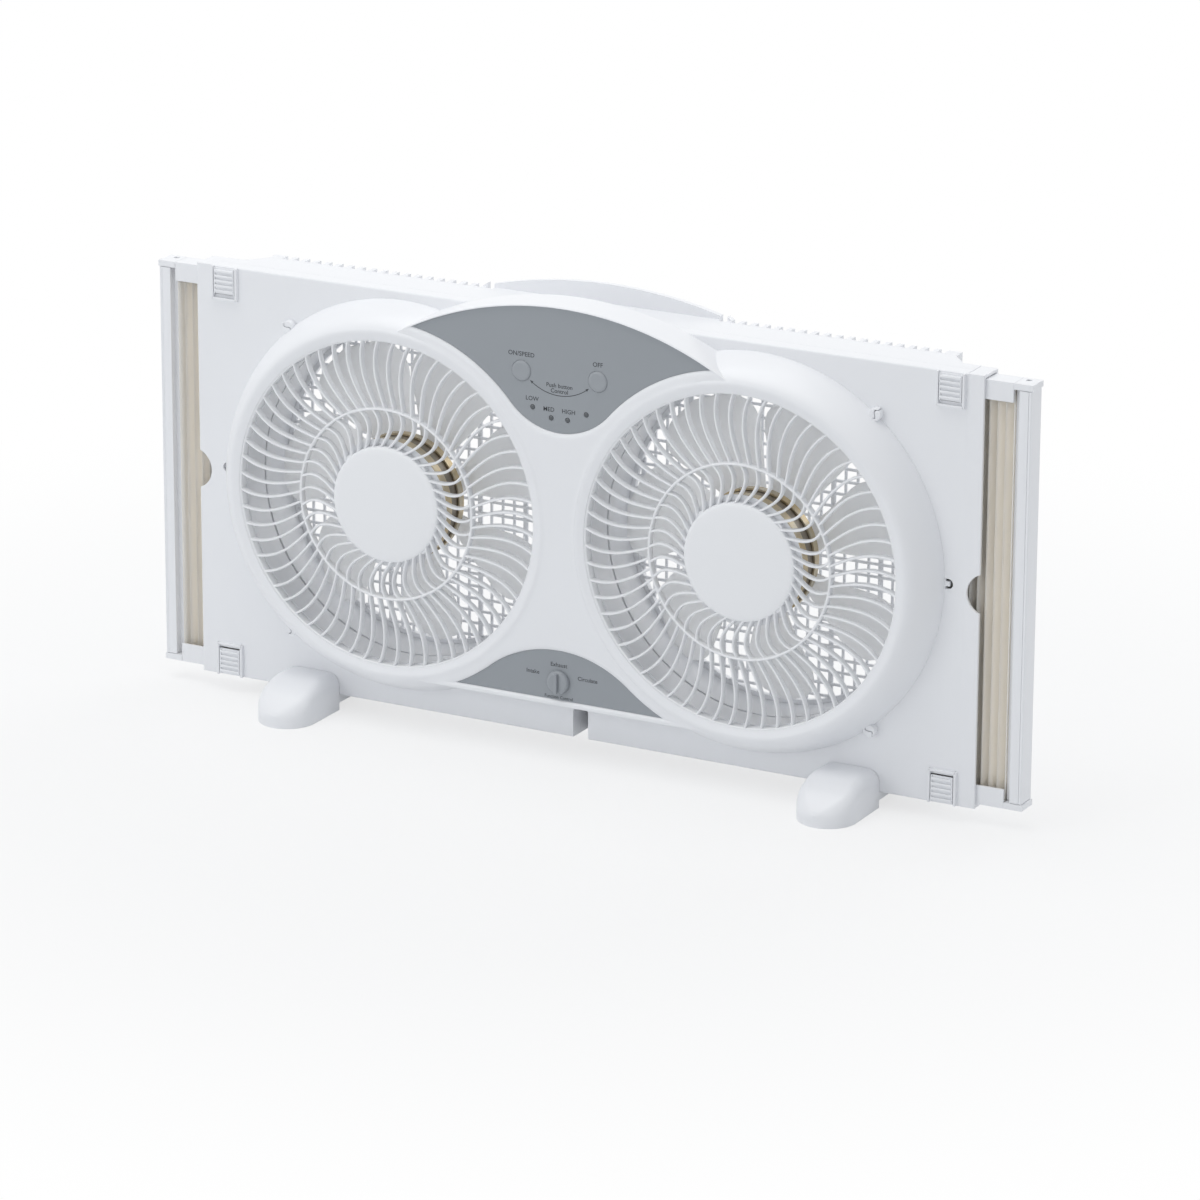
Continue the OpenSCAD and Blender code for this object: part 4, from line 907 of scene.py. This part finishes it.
# ---- Panels and controls ----
# Two satin grey panels lie in the pockets of the bezel. The upper one has two domed push
# buttons and four small lenses over the lamps on the board, the lower one has the dial.
grey_panel = moulded("grey_panel", (0.333, 0.357, 0.384), 0.30, 0.38, 0.10, 0.05)
panel_thick = 1.6
work = bmesh.new()
plate(work, [upper_panel(0, 0)] + upper_holes, face_y, face_y + panel_thick, 0.2)
cast("upper_grey_panel", work, grey_panel, "body", ("control_panel",))
work = bmesh.new()
plate(work, [lower_panel(0, 0), dial_hole], face_y, face_y + panel_thick, 0.2)
cast("lower_grey_panel", work, grey_panel, "body", ("function_panel",))
grey_button = moulded("grey_button", (0.343, 0.366, 0.393), 0.28, 0.36, 0.04, 0.03)
button_cap = [(0, -33.75), (3, -33.85), (5.0, -34.0), (6.0, -33.85), (6.6, -33.55), (6.95, -33.1),
              (7, -32.8), (7, -29.6), (8.6, -29.6), (8.6, -28.6), (2.5, -28.6), (2.5, -28.7),
              (0, -28.7)]
for (x, z, r), name in zip(buttons, ("speed_button", "off_button")):
    work = bmesh.new()
    turned(work, button_cap, x, z, 64)
    cast(name + "_cap", work, grey_button, name, (name,))
smoky_lens = moulded("smoky_lens", (0.10, 0.11, 0.12), 0.10, 0.16, 0.0, 0.0)
lens_pin = [(0, -33.4), (1.0, -33.36), (1.5, -33.15), (1.7, -32.9), (1.7, -25.8), (0, -25.8)]
work = bmesh.new()
for x, z in lenses:
    turned(work, lens_pin, x, z, 24)
cast("indicator_lens_row", work, smoky_lens, "body", ("indicator_lenses",))
circuit_board = moulded("circuit_board", (0.03, 0.13, 0.06), 0.30, 0.45)
keep(circuit_board, "board", "control_board")
keep(dark_moulding, "dark_plastic", "function_switch")
dial = [(0, -36.6), (5.6, -36.6), (6.7, -36.4), (7.6, -35.7), (8, -34.6), (8, -33.2), (2.9, -33.2),
        (2.9, -25.8), (0, -25.8)]
work = bmesh.new()
turned(work, dial, 0, dial_z, 64)
block(work, (-1.2, 1.2), (-39.0, -36.8), (dial_z - 7, dial_z + 7), 0.5)
cast("function_knob", work, grey_button, "function_dial", ("function_dial",))


# ---- Panel markings ----
# Dark printed words that say what each button, lens and dial position does, and a curved
# double arrow between the two buttons. The ink is 0.06 mm thick.
ink_thick = 0.06


def printed(work, words, x, z, tall):
    """Words in plain upright letters of a given capital height, centred on a point."""
    line = bpy.data.curves.new("words", "FONT")
    line.body = words
    line.size = tall * 1.38
    line.align_x = "CENTER"
    line.align_y = "CENTER"
    line.extrude = ink_thick / 2
    line.offset = 0.035
    line.resolution_u = 3
    holder = bpy.data.objects.new("words", line)
    mesh = bpy.data.meshes.new_from_object(holder)
    ink_y = face_y - ink_thick / 2
    mesh.transform(Matrix(((1, 0, 0, x), (0, 0, -1, ink_y), (0, 1, 0, z), (0, 0, 0, 1))))
    work.from_mesh(mesh)
    bpy.data.objects.remove(holder)
    bpy.data.curves.remove(line)
    bpy.data.meshes.remove(mesh)


ink = moulded("dark_ink", (0.055, 0.06, 0.068), 0.45, 0.55, 0.0, 0.0)
work = bmesh.new()
for words, x, z, tall in (("ON/SPEED", -28.2, 277.2, 3.1), ("OFF", 28.2, 277.2, 3.1),
                          ("LOW", -20.2, 248.2, 3.0), ("MED", -7.8, 242.6, 3.0),
                          ("HIGH", 6.8, 242.6, 3.0), ("Push button", 0, 259.2, 2.9),
                          ("Control", 0, 255.6, 2.9)):
    printed(work, words, x, z, tall)
bow, bow_z, bow_half, half_stroke, head_half = 34.2, 286.9, 36, 0.25, 0.95
stroke = arc(0, bow_z, bow + half_stroke, 270 - bow_half, 270 + bow_half, 36)
stroke += arc(0, bow_z, bow - half_stroke, 270 + bow_half, 270 - bow_half, 36)
plate(work, [stroke], face_y - ink_thick, face_y)
for s in (-1, 1):
    a = math.radians(270 + s * bow_half)
    tip = Vector((bow * math.cos(a + s * 0.06), bow_z + bow * math.sin(a + s * 0.06)))
    base = Vector((bow * math.cos(a - s * 0.01), bow_z + bow * math.sin(a - s * 0.01)))
    wide = (tip - base).orthogonal().normalized() * head_half
    arrow_head = [tuple(tip), tuple(base + wide), tuple(base - wide)]
    plate(work, [arrow_head], face_y - ink_thick, face_y)
cast("upper_panel_marks", work, ink, "body", (), 30, False)
work = bmesh.new()
for words, x, z, tall in (("Exhaust", 0, 68.6, 2.9), ("Circulate", 21.5, 61.5, 2.9),
                          ("Intake", -19.5, 61.5, 2.9), ("Function Control", 0, 46.2, 2.2)):
    printed(work, words, x, z, tall)
cast("lower_panel_marks", work, ink, "body", (), 30, False)


# ---- Feet ----
# Two white shoes under the slab, each with a round toe in front, a short heel behind and a
# flat bridge between them, held by two screws from below.
foot_x, foot_half, toe_y = 203.0, 20.5, -42.3
slope = [(0, 8.0), (0.03, 10.3), (0.07, 12.2), (0.16, 16.0), (0.27, 20.0), (0.39, 23.3),
         (0.52, 25.7), (0.66, 26.9), (0.8, 26.8), (1, 26.05)]


def shoe_height(t):
    """Height of a foot's back at a share of the way from its tip to the body."""
    for (t0, h0), (t1, h1) in zip(slope, slope[1:]):
        if t <= t1:
            u = (t - t0) / (t1 - t0)
            return h0 + (h1 - h0) * u
    return slope[-1][1]


def shoe(work, x, centre_y, body_y):
    """The rounded end of a foot, from its tip to the body."""
    toward = 1 if body_y > centre_y else -1
    tip = centre_y - toward * foot_half
    length = abs(body_y - tip)
    round_part, round_rows, straight_rows = 0.42, 20, 12
    shares = [(1 - math.cos(math.radians(90 * (k / round_rows)))) * round_part
              for k in range(round_rows + 1)]
    shares += [round_part + (1 - round_part) * k / straight_rows
               for k in range(1, straight_rows + 1)]
    rows = []
    for t in shares:
        y = tip + toward * length * t
        w = math.sqrt(max(0.3, foot_half ** 2 - min(0, (y - centre_y) * toward) ** 2))
        h = shoe_height(t)
        corner_x, corner_z = min(7.5, w * 0.7), min(9.0, h * 0.55)
        row = [(-w + 0.5, 0.0), (-w, 0.6)]
        for a in (math.radians(15 * k) for k in range(7)):
            row.append((-w + corner_x * (1 - math.cos(a)), h - corner_z * (1 - math.sin(a))))
        row.append((0.0, h + 0.25))
        row = row + [(-px, pz) for px, pz in reversed(row[:-1])]
        rows.append([(x + px, y, pz) for px, pz in row])
    loft(work, rows)


for side, s in (("left", -1), ("right", 1)):
    work = bmesh.new()
    shoe(work, s * foot_x, toe_y, slab_y0 - 0.3)
    shoe(work, s * foot_x, -toe_y, back_y + 0.3)
    bridge = (s * foot_x - foot_half + 0.2, s * foot_x + foot_half - 0.2)
    block(work, bridge, (-10.5, 36.5), (5.2, 10.8), 0.4)
    cast(side + "_shoe", work, white_shell, "body", (side + "_foot",), 45)


# ---- Sizes ----
# The box of the dressed fan, in metres.
low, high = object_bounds()
